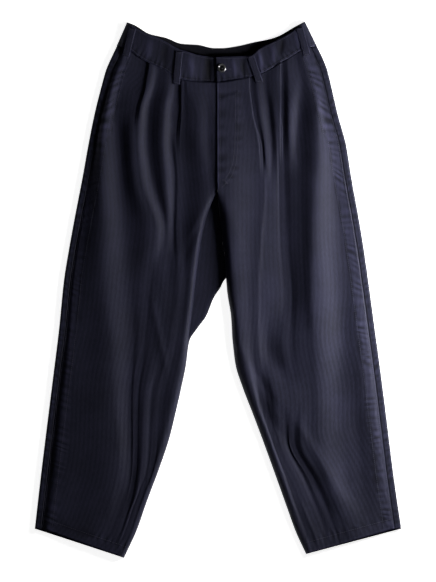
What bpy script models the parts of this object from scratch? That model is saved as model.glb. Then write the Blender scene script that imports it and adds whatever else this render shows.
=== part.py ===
"""Pleated wide-leg trousers, laid flat with the front up.

The waist points along +Y and the wearer's left is +X. Shapes are worked out in millimetres and turned into
metres when a mesh is made. Each panel is one wall of cloth through rows of points, from waist to hem.
"""

import math

import bpy
import numpy as np
from mathutils import Vector
from mathutils.bvhtree import BVHTree

MM = 0.001
CLOTH = 1.2
DOUBLE_CLOTH = 2.0
GAP = 0.3

FOLD_RADIUS = 3.4
SIDE_TOP = CLOTH / 2 + 2 * FOLD_RADIUS
SEAM_INSET = 12.0
SEAM_GAP = 0.5
FLY_STEP = 4.5
EDGE_ROLL = 7.0
EDGE_FOOT = CLOTH + GAP
HEM_SHARE = 0.979
PLEAT_DEPTH = 9.0
LAYER_STEP = 1.8

FRONT_TOP = 384.0
SIDE_TOP_ALONG = 452.0
HEM_OUTER = -442.0
HEM_INNER = {"right": -496.0, "left": -489.0}
BACK_TOP = 401.5

LOOP_WIDTH = 12.5
LOOP_CLOTH = 1.4
POCKET_CLOTH = 1.0
# Belt loops: across and along at the top, then at the bottom.
LOOPS = {
    "loop_front_right": ((-72, 441), (-77, 380)),
    "loop_front_left": ((60, 433), (77, 384)),
    "loop_side_right": ((-158, 484), (-171, 432)),
    "loop_side_left": ((151, 485), (165, 433)),
}
BUTTON_RADIUS = 7.8
BUTTON_RIM = 1.7
BUTTON_PLACE = (7.0, 410.0)

# Outer fold of the garment: along, across on the wearer's right, across on the wearer's left.
OUTER_EDGE = [
    (495, -165, 157),
    (484, -170, 165),
    (469, -178, 172),
    (455, -185, 180),
    (432, -196, 192),
    (407, -207, 202),
    (379, -215, 209),
    (323, -229, 222),
    (268, -240, 237),
    (212, -250, 246),
    (129, -266, 261),
    (74, -276, 270),
    (18, -285, 278),
    (-71, -294, 290),
    (-160, -305, 302),
    (-248, -316, 313),
    (-337, -327, 324),
    (-442, -339, 339),
]

# Inner edge of each front panel: along, across.
FRONT_INNER_EDGE = {
    "right": [
        (384, 4),
        (200, 3),
        (185, -1),
        (172, -7),
        (160, -12),
        (138, -20),
        (92, -31),
        (27, -40),
        (-37, -47),
        (-95, -55),
        (-137, -59),
        (-182, -68),
        (-226, -78),
        (-271, -89),
        (-337, -111),
        (-404, -137),
        (-448, -152),
        (-496, -174),
    ],
    "left": [
        (384, -2),
        (185, -1),
        (128, 5),
        (55, 13),
        (20, 15),
        (-4, 17),
        (-49, 24),
        (-93, 27),
        (-137, 32),
        (-182, 46),
        (-226, 63),
        (-271, 80),
        (-337, 104),
        (-404, 128),
        (-448, 144),
        (-489, 163),
    ],
}

# Inner edge of each back panel: the centre back seam down to the crotch, then the inside of the leg.
BACK_INNER_EDGE = {
    "right": [
        (402, -2.6),
        (185, -1.8),
        (128, 4),
        (55, 12),
        (20, 13.6),
        (16, 10),
        (7, 6),
        (-15, -8),
        (-49, -22),
        (-71, -38),
        (-95, -53),
        (-137, -59),
        (-182, -68),
        (-226, -78),
        (-271, -89),
        (-337, -111),
        (-404, -137),
        (-448, -152),
        (-496, -174),
    ],
    "left": [(402, -2)] + FRONT_INNER_EDGE["left"][1:],
}

# Waist seam of the front panels and top edges of the bands: across, along.
FRONT_SEAM = [(-187, 452.3), (-173, 449), (-144, 429), (-126, 419), (-98, 406), (-80, 394), (-63, 388)]
FRONT_SEAM += [(-43, 385), (-18, 384), (0, 384), (30, 388), (59, 394), (81, 401), (124, 425)]
FRONT_SEAM += [(168, 449), (182, 452.3)]
RIGHT_BAND_TOP = [(-168, 494), (-150, 483), (-135, 475), (-117, 468), (-98, 460), (-80, 449), (-61, 442)]
RIGHT_BAND_TOP += [(-33, 434), (-9, 431), (40, 431)]
LEFT_BAND_TOP = [(-4, 431), (41, 432), (62, 434), (76, 446), (96, 456), (133, 475), (160, 496)]
BACK_BAND_TOP = [(-168, 495), (-155, 490), (-126, 473), (-96, 466), (-67, 455), (-37, 453), (-7, 447)]
BACK_BAND_TOP += [(7, 447), (37, 451), (67, 458), (96, 464), (111, 469), (141, 486), (160, 496)]

# Large folds of each front panel. A row has the place along the garment, then each fold line's place
# across and its height above the surface that the trousers lie on.
RIGHT_FOLD_NAMES = (
    "outer_crest",
    "outer_trough",
    "outer_pleat",
    "dip",
    "middle_crest",
    "middle_trough",
    "inner_pleat",
    "inner_crest",
)
RIGHT_FOLDS = [
    (451, (-166, 9.5), (-155, 9), (-122, 10.4), (-105, 9.6),
     (-91, 9.8), (-81, 9.0), (-67, 11), (-56, 11.5)),
    (381, (-194, 12), (-181, 9.5), (-134, 13.5), (-115, 9.5),
     (-92, 12), (-78, 9.0), (-68, 12), (-57, 13)),
    (333, (-206, 14), (-189, 9), (-148, 16), (-128, 8.8),
     (-100, 15.5), (-84, 8.6), (-70, 12), (-43, 16.5)),
    (277, (-215, 16.5), (-183, 8.2), (-154, 17.5), (-130, 8.2),
     (-103, 16.5), (-86, 8.2), (-74, 10.5), (-33, 18)),
    (203, (-216, 19), (-178, 8), (-148, 17.5), (-120, 8.5),
     (-98, 15.5), (-80, 8.2), (-70, 9.6), (-18, 19)),
    (111, (-213, 18.5), (-170, 8), (-120, 16.5), (-98, 11),
     (-92, 11.2), (-82, 8.6), (-72, 10.5), (-33, 18.5)),
    (18, (-215, 18), (-165, 8), (-133, 10.5), (-115, 12), (-98, 13.5), (-81, 15), (-68, 16), (-47, 18)),
    (-93, (-202, 17), (-157, 8.2), (-141, 9.8), (-126, 11.2),
     (-111, 12.6), (-96, 14), (-83, 15), (-62, 16.5)),
    (-204, (-196, 16), (-161, 8.5), (-153, 9.8), (-144, 11.2),
     (-135, 12.6), (-123, 10.6), (-111, 11.6), (-84, 14.5)),
    (-315, (-185, 14.5), (-159, 9.2), (-154, 10.2), (-147, 11.4),
     (-141, 12.6), (-128, 10.6), (-122, 11), (-113, 12.5)),
    (-443, (-222, 10.5), (-196, 9.5), (-183, 10), (-175, 10.5),
     (-169, 11), (-164, 10.5), (-161, 10.6), (-158, 10.8)),
    (-496, (-274, 10), (-248, 9.5), (-233, 9.8), (-220, 10),
     (-207, 10.4), (-196, 10.2), (-189, 10.2), (-182, 10.4)),
]
LEFT_FOLD_NAMES = (
    "inner_crest",
    "inner_pleat",
    "slope",
    "crease",
    "middle_crest",
    "outer_pleat",
    "low_crest",
    "outer_dip",
    "outer_crest",
    "outer_trough",
)
LEFT_FOLDS = [
    (453, (18, 13), (58, 12), (70, 9), (85, 8.6), (98, 10),
     (115, 12), (126, 9), (139, 9), (152, 10.5), (163, 8.6)),
    (381, (18, 14), (58, 13), (72, 11), (87, 9.2), (98, 11),
     (116, 12.5), (131, 12.5), (152, 9.5), (170, 12.5), (189, 8.5)),
    (333, (15, 15), (64, 14.5), (77, 13), (94, 9.2), (104, 13),
     (117, 13.5), (131, 15), (149, 9), (183, 16.5), (196, 8.8)),
    (259, (13, 17), (79, 13.5), (87, 13), (100, 10), (109, 12),
     (117, 11.5), (133, 12.5), (146, 10.5), (184, 18.5), (211, 9.5)),
    (185, (15, 18.5), (81, 12), (91, 11.2), (100, 10.4), (110, 9.2),
     (118, 8.3), (135, 11), (152, 13.5), (179, 19.5), (218, 8.5)),
    (92, (24, 18.5), (74, 13.5), (85, 12.3), (96, 11), (109, 9.5),
     (121, 8.3), (139, 11), (155, 14.5), (176, 20), (228, 8)),
    (-19, (33, 18), (68, 14.5), (81, 13.3), (96, 11.8), (113, 10.2),
     (131, 8.8), (146, 12), (159, 15.5), (176, 20), (240, 8)),
    (-102, (43, 16.5), (70, 13), (81, 11.4), (92, 9.6), (105, 10.8),
     (128, 13), (146, 15), (163, 17), (181, 19), (235, 8.2)),
    (-204, (70, 15), (83, 10.6), (94, 11.8), (107, 14.5), (124, 14),
     (141, 13.7), (155, 13.5), (170, 13.6), (185, 14.4), (231, 8)),
    (-278, (96, 14), (105, 11), (113, 11.2), (120, 10.6), (128, 9.8),
     (137, 11.6), (154, 14.5), (168, 14.2), (185, 14.5), (237, 8.2)),
    (-352, (122, 13.5), (133, 11.5), (142, 11.4), (152, 10.8), (161, 9.6),
     (174, 11.5), (187, 13.6), (194, 14.6), (204, 15.4), (244, 8.6)),
    (-441, (152, 12), (165, 11), (176, 11), (187, 10.6), (198, 10.2),
     (211, 10.8), (222, 11.6), (231, 12), (240, 12.4), (285, 9.5)),
    (-489, (172, 11.5), (183, 11), (192, 11), (204, 10.6), (215, 10.4),
     (226, 10.6), (239, 11), (250, 11), (263, 11), (300, 9.5)),
]

# Pleats by name: where along the garment the fold is full, where its overlap has opened out, and where its
# step has smoothed away.
PLEATS = {
    ("right", "outer_pleat"): (400, 345, 290),
    ("right", "inner_pleat"): (380, 310, 245),
    ("left", "inner_pleat"): (384, 262, 205),
    ("left", "outer_pleat"): (390, 290, 220),
}

PANEL_ROWS = [0, 0.025, 0.05, 0.08, 0.11, 0.14, 0.165, 0.19, 0.22, 0.255, 0.295, 0.34, 0.385, 0.43]
PANEL_ROWS += [0.485, 0.54, 0.595, 0.65, 0.705, 0.76, 0.815, 0.87, 0.925, 0.976]
POCKET_ROWS = slice(2, 8)
POCKET_COLUMNS = {"right": slice(0, 4), "left": slice(-4, None)}
HEM_ROWS = [HEM_SHARE, 1.0]
BACK_ROWS = sorted(PANEL_ROWS + [0.4255, 0.4355, 0.445, 0.46, 0.505])


def smooth_line(places, values, at):
    """A curve through the values that never overshoots them."""
    places = np.asarray(places, float)
    values = np.asarray(values, float)
    if places[0] > places[-1]:
        places = places[::-1]
        values = values[::-1]
    steps = np.diff(places)
    slopes = np.diff(values) / steps
    tangents = np.zeros(len(places))
    same_way = slopes[:-1] * slopes[1:] > 0
    weight_left = 2 * steps[1:] + steps[:-1]
    weight_right = steps[1:] + 2 * steps[:-1]
    with np.errstate(divide="ignore", invalid="ignore"):
        middle = (weight_left + weight_right) / (weight_left / slopes[:-1] + weight_right / slopes[1:])
    tangents[1:-1] = np.where(same_way, middle, 0)
    tangents[0] = slopes[0]
    tangents[-1] = slopes[-1]
    at = np.clip(np.asarray(at, float), places[0], places[-1])
    index = np.clip(np.searchsorted(places, at, side="right") - 1, 0, len(places) - 2)
    step = steps[index]
    t = (at - places[index]) / step
    return (
        (2 * t**3 - 3 * t**2 + 1) * values[index]
        + (t**3 - 2 * t**2 + t) * step * tangents[index]
        + (3 * t**2 - 2 * t**3) * values[index + 1]
        + (t**3 - t**2) * step * tangents[index + 1]
    )


def ease(start, end, value):
    """0 at the start and 1 at the end, with soft ends."""
    t = np.clip((value - start) / (end - start), 0, 1)
    return t * t * (3 - 2 * t)


def table_line(table, column, at):
    return smooth_line([row[0] for row in table], [row[column] for row in table], at)


def outer_edge(side, along):
    return table_line(OUTER_EDGE, 1 if side == "right" else 2, along)


def side_seam(side, along):
    inward = 1 if side == "right" else -1
    return outer_edge(side, along) + inward * (SEAM_INSET + SEAM_GAP / 2)


def front_inner(side, along):
    return table_line(FRONT_INNER_EDGE[side], 1, along)


def back_inner(side, along):
    return table_line(BACK_INNER_EDGE[side], 1, along)


def top_seam(across):
    return table_line(FRONT_SEAM, 1, across)


def pleat_shape(side, overlap, opened, step):
    """Eight points across a pleat: places from its edge, and heights from its under layer's."""
    nose = 0.55
    turn = 0.5
    folded = [-5, -turn, nose, -turn, turn - overlap, -nose - overlap, turn - overlap, 4]
    spread = [-5, -3.2, -1.6, -0.8, 0.8, 1.6, 3.2, 4]
    heights = [2, 2, 1.5, 1, 1, 0.5, 0, 0]
    across = [f * (1 - opened) + s * opened for f, s in zip(folded, spread)]
    rise = [h * LAYER_STEP * step for h in heights]
    if side == "right":
        across = [-a for a in reversed(across)]
        rise = list(reversed(rise))
    return across, rise


def pleat_state(side, name, along):
    full, opened_at, smooth_at = PLEATS[(side, name)]
    opened = 1 - float(ease(opened_at, full, along))
    step = float(ease(smooth_at, opened_at, along))
    return opened, step


def fold_lines(side, along):
    """The fold lines at this place along a front panel: name, across, height, in order from -X to +X."""
    table = RIGHT_FOLDS if side == "right" else LEFT_FOLDS
    names = RIGHT_FOLD_NAMES if side == "right" else LEFT_FOLD_NAMES
    places = [row[0] for row in table]
    lines = []
    for column, name in enumerate(names, start=1):
        across = float(smooth_line(places, [row[column][0] for row in table], along))
        height = float(smooth_line(places, [row[column][1] for row in table], along))
        lines.append([name, across, height])
    seam = ["seam", float(side_seam(side, along)), SIDE_TOP]
    edge_across = float(front_inner(side, along))
    if side == "right":
        return order_lines([seam] + lines, edge_across, 1)
    return order_lines(lines + [seam], edge_across, -1)


def order_lines(lines, edge_across, way):
    """Keeps the fold lines apart, between the side seam and the inner roll."""
    room = {"outer_pleat": 9.0, "inner_pleat": 9.0}
    if way > 0:
        limit = edge_across - EDGE_ROLL
        for line in reversed(lines):
            limit -= room.get(line[0], 3.0) / 2
            line[1] = min(line[1], limit)
            limit = line[1] - room.get(line[0], 3.0) / 2
        return lines
    limit = edge_across + EDGE_ROLL
    for line in lines:
        limit += room.get(line[0], 3.0) / 2
        line[1] = max(line[1], limit)
        limit = line[1] + room.get(line[0], 3.0) / 2
    return lines


def left_edge_height(along):
    """Height of the left front's edge, which lies over the right front at the fly."""
    return float(smooth_line([row[0] for row in LEFT_FOLDS], [row[1][1] for row in LEFT_FOLDS], along))


def edge_foot(side, along, crest):
    """Height of a front panel's inner edge: level at the fly, rolled down to the back panel below it."""
    rolled = 1 - float(ease(125, 190, along))
    level = crest if side == "left" else left_edge_height(along) - FLY_STEP
    return level * (1 - rolled) + EDGE_FOOT * rolled, rolled


def section(side, along, parts):
    """A front panel's mid line at one place along it, with a set number of points between fold lines."""
    lines = fold_lines(side, along)
    stops = []
    for name, across, height in lines:
        if (side, name) in PLEATS:
            opened, step = pleat_state(side, name, along)
            overlap = PLEAT_DEPTH
            xs, rises = pleat_shape(side, overlap, opened, step)
            base = height - 2 * LAYER_STEP * step
            stops.append(([across + x for x in xs], [base + r for r in rises]))
        else:
            stops.append(([across], [height]))
    points = list(zip(*stops[0]))
    for before, after in zip(stops[:-1], stops[1:]):
        x0, z0 = before[0][-1], before[1][-1]
        x1, z1 = after[0][0], after[1][0]
        for i in range(1, parts):
            t = i / parts
            blend = (1 - math.cos(math.pi * t)) / 2
            points.append((x0 + (x1 - x0) * t, z0 + (z1 - z0) * blend))
        points += list(zip(*after))
    edge = float(front_inner(side, along))
    crest = lines[-1][2] if side == "right" else lines[0][2]
    crest_x = points[-1][0] if side == "right" else points[0][0]
    foot, rolled = edge_foot(side, along, crest)
    wall = edge - CLOTH / 2 if side == "right" else edge + CLOTH / 2
    roll = []
    for turn in (25, 50, 72, 90):
        angle = math.radians(turn)
        x = crest_x + (wall - crest_x) * math.sin(angle)
        z = foot + (crest - foot) * math.cos(angle)
        roll.append((x, z))
    back_off = 1.5 * (1 - rolled) * (-1 if side == "right" else 1)
    roll.insert(-1, (wall + back_off, foot + (crest - foot) * 0.1))
    return points + roll if side == "right" else roll[::-1] + points


def row_along(side, share, across, inner, outer):
    """How far along the garment a row is, at each place across it."""
    inner_along = FRONT_TOP + (HEM_INNER[side] - FRONT_TOP) * share
    outer_along = SIDE_TOP_ALONG + (HEM_OUTER - SIDE_TOP_ALONG) * share
    t = np.clip((across - inner) / (outer - inner), 0, 1)
    straight = inner_along + (outer_along - inner_along) * t
    top_line = FRONT_TOP + (SIDE_TOP_ALONG - FRONT_TOP) * t
    follow = 1 - ease(0, 0.16, share)
    return straight + follow * (top_seam(across) - top_line)


def front_grid(side, shares, parts=2):
    """Rows of mid points of a front panel. Each column keeps to its own fold from the waist to the hem."""
    grid = []
    for share in shares:
        inner_along = FRONT_TOP + (HEM_INNER[side] - FRONT_TOP) * share
        outer_along = SIDE_TOP_ALONG + (HEM_OUTER - SIDE_TOP_ALONG) * share
        inner = float(front_inner(side, inner_along))
        outer = float(side_seam(side, outer_along))
        first = section(side, (inner_along + outer_along) / 2, parts)
        alongs = [(inner_along + outer_along) / 2] * len(first)
        points = first
        for _ in range(4):
            alongs = [float(row_along(side, share, x, inner, outer)) for x, _ in points]
            points = [section(side, a, parts)[i] for i, a in enumerate(alongs)]
        grid.append([(x, a, z) for (x, z), a in zip(points, alongs)])
    return np.array(grid)


def back_section(side, along, columns):
    """A back panel's mid line: flat below, then up round the outer fold and in to the side seam."""
    inward = 1 if side == "right" else -1
    inner = float(back_inner(side, along))
    outer = float(outer_edge(side, along)) + inward * CLOTH / 2
    centre = outer + inward * FOLD_RADIUS
    points = [(inner + (centre - inner) * i / columns, CLOTH / 2) for i in range(columns + 1)]
    for turn in (36, 72, 108, 144, 180):
        angle = math.radians(turn)
        x = centre - inward * FOLD_RADIUS * math.sin(angle)
        z = CLOTH / 2 + FOLD_RADIUS * (1 - math.cos(angle))
        points.append((x, z))
    end = float(outer_edge(side, along)) + inward * (SEAM_INSET - SEAM_GAP / 2)
    points.append(((centre + end) / 2, SIDE_TOP))
    points.append((end, SIDE_TOP))
    return points


def back_grid(side, shares, columns=5):
    """Rows of mid points of a back panel, from its centre or inner edge to the side seam."""
    grid = []
    for share in shares:
        inner_along = BACK_TOP + (HEM_INNER[side] - BACK_TOP) * share
        outer_along = SIDE_TOP_ALONG + (HEM_OUTER - SIDE_TOP_ALONG) * share
        inner = float(back_inner(side, inner_along))
        outer = float(outer_edge(side, outer_along))
        points = back_section(side, outer_along, columns)
        for _ in range(3):
            shares_across = [min(max((x - inner) / (outer - inner), 0), 1) for x, _ in points]
            alongs = [inner_along + (outer_along - inner_along) * t for t in shares_across]
            points = [back_section(side, a, columns)[i] for i, a in enumerate(alongs)]
        grid.append([(x, a, z) for (x, z), a in zip(points, alongs)])
    return np.array(grid)


def normals_of(grid):
    """The upward normal of the mid surface at each of its points."""
    down = np.gradient(grid, axis=0)
    across = np.gradient(grid, axis=1)
    normals = np.cross(across, down)
    return normals / np.linalg.norm(normals, axis=2, keepdims=True)


def new_material(name, colour, roughness, metallic=0.0):
    material = bpy.data.materials.new(name)
    material.use_nodes = True
    shader = material.node_tree.nodes["Principled BSDF"]
    shader.inputs["Base Color"].default_value = (*colour, 1)
    shader.inputs["Roughness"].default_value = roughness
    shader.inputs["Metallic"].default_value = metallic
    return material


def new_object(name, points, faces, material, smooth=True):
    """An object from points in millimetres, with its faces turned outwards."""
    mesh = bpy.data.meshes.new(name)
    mesh.from_pydata([tuple(float(c) * MM for c in p) for p in points], [], faces)
    mesh.validate()
    mesh.materials.append(material)
    for polygon in mesh.polygons:
        polygon.use_smooth = smooth
    obj = bpy.data.objects.new(name, mesh)
    part_collection.objects.link(obj)
    return obj


def cloth_solid(name, grid, thickness, material, lift=0.0, rows=None, columns=None):
    """A closed wall of cloth about a grid of mid points, with its two faces and its rim.

    A piece that is sewn onto a panel is made from some of the panel's rows and columns, lifted off it.
    """
    normals = normals_of(grid)
    if normals[:, :, 2].sum() < 0:
        normals = -normals
    if rows is not None:
        grid = grid[rows, columns]
        normals = normals[rows, columns]
    grid = grid + normals * lift
    rows, columns = grid.shape[:2]
    upper = (grid + normals * thickness / 2).reshape(-1, 3)
    lower = (grid - normals * thickness / 2).reshape(-1, 3)
    count = rows * columns
    faces = []
    for r in range(rows - 1):
        for c in range(columns - 1):
            a = r * columns + c
            b = a + 1
            d = a + columns
            e = d + 1
            faces.append((a, b, e, d))
            faces.append((a + count, d + count, e + count, b + count))
    rim = [(0, c) for c in range(columns)]
    rim += [(r, columns - 1) for r in range(1, rows)]
    rim += [(rows - 1, c) for c in range(columns - 2, -1, -1)]
    rim += [(r, 0) for r in range(rows - 2, 0, -1)]
    rim = [r * columns + c for r, c in rim]
    for a, b in zip(rim, rim[1:] + rim[:1]):
        faces.append((b, a, a + count, b + count))
    obj = new_object(name, np.vstack([upper, lower]), faces, material)
    volume = sum(
        Vector(obj.data.vertices[t.vertices[0]].co).dot(
            Vector(obj.data.vertices[t.vertices[1]].co).cross(obj.data.vertices[t.vertices[2]].co)
        )
        for t in loop_triangles(obj.data)
    )
    if volume < 0:
        obj.data.flip_normals()
    return obj


def loop_triangles(mesh):
    mesh.calc_loop_triangles()
    return mesh.loop_triangles


def band_grid(top_line, bottom, start, end, height, steps):
    """Rows of mid points of a waistband: from its top line to its lower line, between two places across."""
    rows = []
    shares = [0, 0.33, 0.67, 1]
    for share in shares:
        row = []
        for i in range(steps + 1):
            t = i / steps
            x_top = start[0] + (end[0] - start[0]) * t
            x_low = start[1] + (end[1] - start[1]) * t
            y_top = float(table_line(top_line, 1, x_top))
            y_low = bottom(x_low)
            x = x_top + (x_low - x_top) * share
            y = y_top + (y_low - y_top) * share
            row.append((x, y, height(x, t)))
        rows.append(row)
    return np.array(rows)


def right_band_height(x, t):
    """The right half passes under the left half at the centre and rolls down at the side."""
    side = DOUBLE_CLOTH + GAP + DOUBLE_CLOTH / 2
    roll = math.sin(math.pi / 2 * min(t / 0.055, 1))
    level = 8.2 + 2.4 * float(ease(-12, -60, x))
    return side + (level - side) * roll


def left_band_height(x, t):
    side = DOUBLE_CLOTH + GAP + DOUBLE_CLOTH / 2
    roll = math.sin(math.pi / 2 * min((1 - t) / 0.055, 1))
    level = 11.4 - 0.6 * float(ease(20, 90, x))
    return side + (level - side) * roll


def back_seam(x):
    """The waist seam of the back panels."""
    side = "right" if x < 0 else "left"
    inner = float(back_inner(side, BACK_TOP))
    outer = float(outer_edge(side, SIDE_TOP_ALONG))
    return BACK_TOP + (SIDE_TOP_ALONG - BACK_TOP) * min(max((x - inner) / (outer - inner), 0), 1)


def build_bands():
    def front_line(x):
        return float(top_seam(x)) + 2 * GAP

    def back_line(x):
        return back_seam(x) + 1.5 * GAP

    def flat(x, t):
        return DOUBLE_CLOTH / 2

    right = band_grid(RIGHT_BAND_TOP, front_line, (-168, -187), (30, 30), right_band_height, 22)
    cloth_solid("waistband_right", right, DOUBLE_CLOTH, cloth)
    left = band_grid(LEFT_BAND_TOP, front_line, (-4, -2), (160, 182), left_band_height, 20)
    cloth_solid("waistband_left", left, DOUBLE_CLOTH, cloth)
    back = band_grid(BACK_BAND_TOP, back_line, (-168, -187), (160, 182), flat, 20)
    cloth_solid("waistband_back", back, DOUBLE_CLOTH, cloth_inside)


def surface_finder(names):
    """A function that gives the height of these objects' top at a place."""
    trees = []
    for name in names:
        mesh = bpy.data.objects[name].data
        points = [v.co / MM for v in mesh.vertices]
        trees.append(BVHTree.FromPolygons(points, [tuple(p.vertices) for p in mesh.polygons]))
    start = 60.0
    way = Vector((0, 0, -1))

    def height(x, y):
        found = [tree.ray_cast(Vector((x, y, start)), way)[0] for tree in trees]
        found = [hit.z for hit in found if hit is not None]
        return max(found) if found else None

    return height


def build_loops():
    """Each belt loop bridges from the waistband to the top of the panel below it."""
    carriers = ["waistband_left", "waistband_right", "waistband_back", "front_left", "front_right"]
    ground = surface_finder(carriers)
    for name, (top, bottom) in LOOPS.items():
        way = Vector(bottom) - Vector(top)
        side = Vector((-way.y, way.x)).normalized() * LOOP_WIDTH / 2
        steps = 10
        rows = []
        for i in range(steps + 1):
            centre = Vector(top) + way * i / steps
            rows.append([centre - side, centre, centre + side])
        heights = [max(ground(p.x, p.y) or 0 for p in row) for row in rows]
        bridged = [max(heights[max(i - 1, 0) : i + 2]) for i in range(steps + 1)]
        lift = GAP + LOOP_CLOTH / 2 + 0.15
        grid = [[(p.x, p.y, z + lift) for p in row] for row, z in zip(rows, bridged)]
        cloth_solid(name, np.array(grid), LOOP_CLOTH, cloth)


def build_pockets(panels):
    """The bound edge of each slanted side pocket, sewn down on the front panel beside the side seam."""
    lift = CLOTH / 2 + GAP + POCKET_CLOTH / 2
    for side, panel in panels.items():
        cloth_solid("pocket_" + side, panel, POCKET_CLOTH, cloth, lift, POCKET_ROWS, POCKET_COLUMNS[side])


def build_button():
    """A two-part button: a bright rim round a dark centre."""
    x, y = BUTTON_PLACE
    band_top = surface_finder(["waistband_left"])(x, y)
    middle = band_top + GAP + BUTTON_RIM
    bpy.ops.mesh.primitive_torus_add(
        major_radius=(BUTTON_RADIUS - BUTTON_RIM) * MM,
        minor_radius=BUTTON_RIM * MM,
        major_segments=28,
        minor_segments=8,
        location=(x * MM, y * MM, middle * MM),
    )
    take_object("button_rim", metal)
    bpy.ops.mesh.primitive_cylinder_add(
        vertices=24,
        radius=(BUTTON_RADIUS - 2 * BUTTON_RIM - GAP) * MM,
        depth=2.2 * MM,
        location=(x * MM, y * MM, (middle - 0.3) * MM),
    )
    take_object("button_centre", metal_dark)


def take_object(name, material):
    obj = bpy.context.active_object
    obj.name = name
    obj.data.name = name
    obj.data.materials.append(material)
    for polygon in obj.data.polygons:
        polygon.use_smooth = True
    for collection in list(obj.users_collection):
        collection.objects.unlink(obj)
    part_collection.objects.link(obj)


def build_fronts():
    panels = {}
    for side in ("right", "left"):
        panel = front_grid(side, PANEL_ROWS)
        panels[side] = panel
        cloth_solid("front_" + side, panel, CLOTH, cloth)
        hem = front_grid(side, HEM_ROWS, parts=1)
        cloth_solid("hem_front_" + side, hem, DOUBLE_CLOTH, cloth)
    return panels


def build_backs():
    for side in ("right", "left"):
        cloth_solid("back_" + side, back_grid(side, BACK_ROWS), CLOTH, cloth)
        hem = back_grid(side, HEM_ROWS)
        cloth_solid("hem_back_" + side, hem, CLOTH, cloth)


for old in list(bpy.data.objects):
    bpy.data.objects.remove(old, do_unlink=True)
part_collection = bpy.data.collections.new("pleated_trousers")
bpy.context.scene.collection.children.link(part_collection)
cloth = new_material("navy_twill", (0.012, 0.014, 0.024), 0.8)
cloth_inside = new_material("navy_twill_inside", (0.01, 0.011, 0.018), 0.9)
metal = new_material("button_metal", (0.6, 0.6, 0.58), 0.3, 1.0)
metal_dark = new_material("button_dark", (0.05, 0.05, 0.055), 0.45, 0.8)
build_backs()
panels = build_fronts()
build_bands()
build_loops()
build_pockets(panels)
build_button()
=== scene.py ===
"""Looks for a pair of navy pleated wide-leg trousers that lie flat, front up.

Every cloth piece is a thin wall on its solid's form. The forms are worked out in millimetres from the
same fold tables as the solids, with finer rows. The small creases, seam puckers and stitches then go on.
"""

import math

import bmesh
import bpy
import numpy as np
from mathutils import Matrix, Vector
from mathutils.bvhtree import BVHTree


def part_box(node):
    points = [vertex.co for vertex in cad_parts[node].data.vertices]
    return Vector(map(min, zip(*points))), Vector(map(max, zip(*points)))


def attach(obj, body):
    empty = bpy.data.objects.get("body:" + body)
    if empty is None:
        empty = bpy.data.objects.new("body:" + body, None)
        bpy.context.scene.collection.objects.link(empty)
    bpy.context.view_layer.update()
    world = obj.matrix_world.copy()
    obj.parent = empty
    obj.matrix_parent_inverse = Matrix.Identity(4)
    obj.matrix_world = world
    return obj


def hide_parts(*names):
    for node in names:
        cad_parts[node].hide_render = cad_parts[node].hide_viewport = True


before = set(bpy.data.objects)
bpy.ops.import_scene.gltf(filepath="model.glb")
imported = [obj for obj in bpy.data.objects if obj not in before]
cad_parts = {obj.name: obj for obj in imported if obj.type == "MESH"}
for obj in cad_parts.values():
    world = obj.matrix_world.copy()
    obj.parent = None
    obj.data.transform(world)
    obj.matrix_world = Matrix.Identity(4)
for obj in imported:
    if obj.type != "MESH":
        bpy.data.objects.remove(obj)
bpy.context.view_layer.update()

# Sizes of the cloth, in millimetres.
MM = 0.001
CLOTH = 1.2
DOUBLE_CLOTH = 2.0
GAP = 0.3
FOLD_RADIUS = 3.4
SIDE_TOP = CLOTH / 2 + 2 * FOLD_RADIUS
SEAM_INSET = 12.0
SEAM_GAP = 0.5
# The bands lie this near to the waist seam, and reach past it at the sides, so that no floor shows between.
BAND_SEAM_GAP = 0.06
SIDE_LAP = 1.4
# The right front's edge lies this far below the left front's at the fly.
FLY_STEP = 4.5
EDGE_ROLL = 7.0
EDGE_FOOT = CLOTH + GAP
PLEAT_DEPTH = 9.0
LAYER_STEP = 1.8
FRONT_TOP = 384.0
BACK_TOP = 401.5
SIDE_TOP_ALONG = 452.0
HEM_OUTER = -442.0
HEM_INNER = {"right": -496.0, "left": -489.0}
LOOP_WIDTH = 12.5
LOOP_CLOTH = 1.4
BUTTON_PLACE = (7.0, 410.0)
# Height of the front band's mid line at the sides, where it meets the back band, and the share of its length
# that it takes to come down.
BAND_FOOT = DOUBLE_CLOTH + GAP + DOUBLE_CLOTH / 2
BAND_ROLL = 0.055

# Photograph's frame: one pixel is 1.85 mm, and the camera looks straight down on its middle.
PHOTO_HEIGHT = 582
MM_PER_PIXEL = 1.85
VIEW_CENTRE_ALONG = -2.3

# Studio, in metres: the camera's height, the floor, and each light's place, target, size and power in
# watts. Left is the wearer's left.
CAMERA_HEIGHT = 1.6
FLOOR_SIZE = 8
FLOOR_LEVEL = -0.0002
LIGHTS = {
    "key_from_the_left_side": ((0.86, 0.08, 0.1), (-0.1, 0.0, 0.01), (0.1, 1.3), 38),
    "soft_overhead": ((0.2, 0.0, 2.4), (0.0, 0.0, 0.0), (1.5, 1.5), 0.6),
}
WORLD_STRENGTH = 0.015

SIDES = ("right", "left")
# From the outer fold of each side towards the middle of the garment.
INWARD = {"right": 1, "left": -1}

# Outer fold of the garment: along, across on the wearer's right, across on the wearer's left.
OUTER_EDGE = [
    (495, -165, 157),
    (484, -170, 165),
    (469, -178, 172),
    (455, -185, 180),
    (432, -196, 192),
    (407, -207, 202),
    (379, -215, 209),
    (323, -229, 222),
    (268, -240, 237),
    (212, -250, 246),
    (129, -266, 261),
    (74, -276, 270),
    (18, -285, 278),
    (-71, -294, 290),
    (-160, -305, 302),
    (-248, -316, 313),
    (-337, -327, 324),
    (-442, -339, 339),
]

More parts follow.
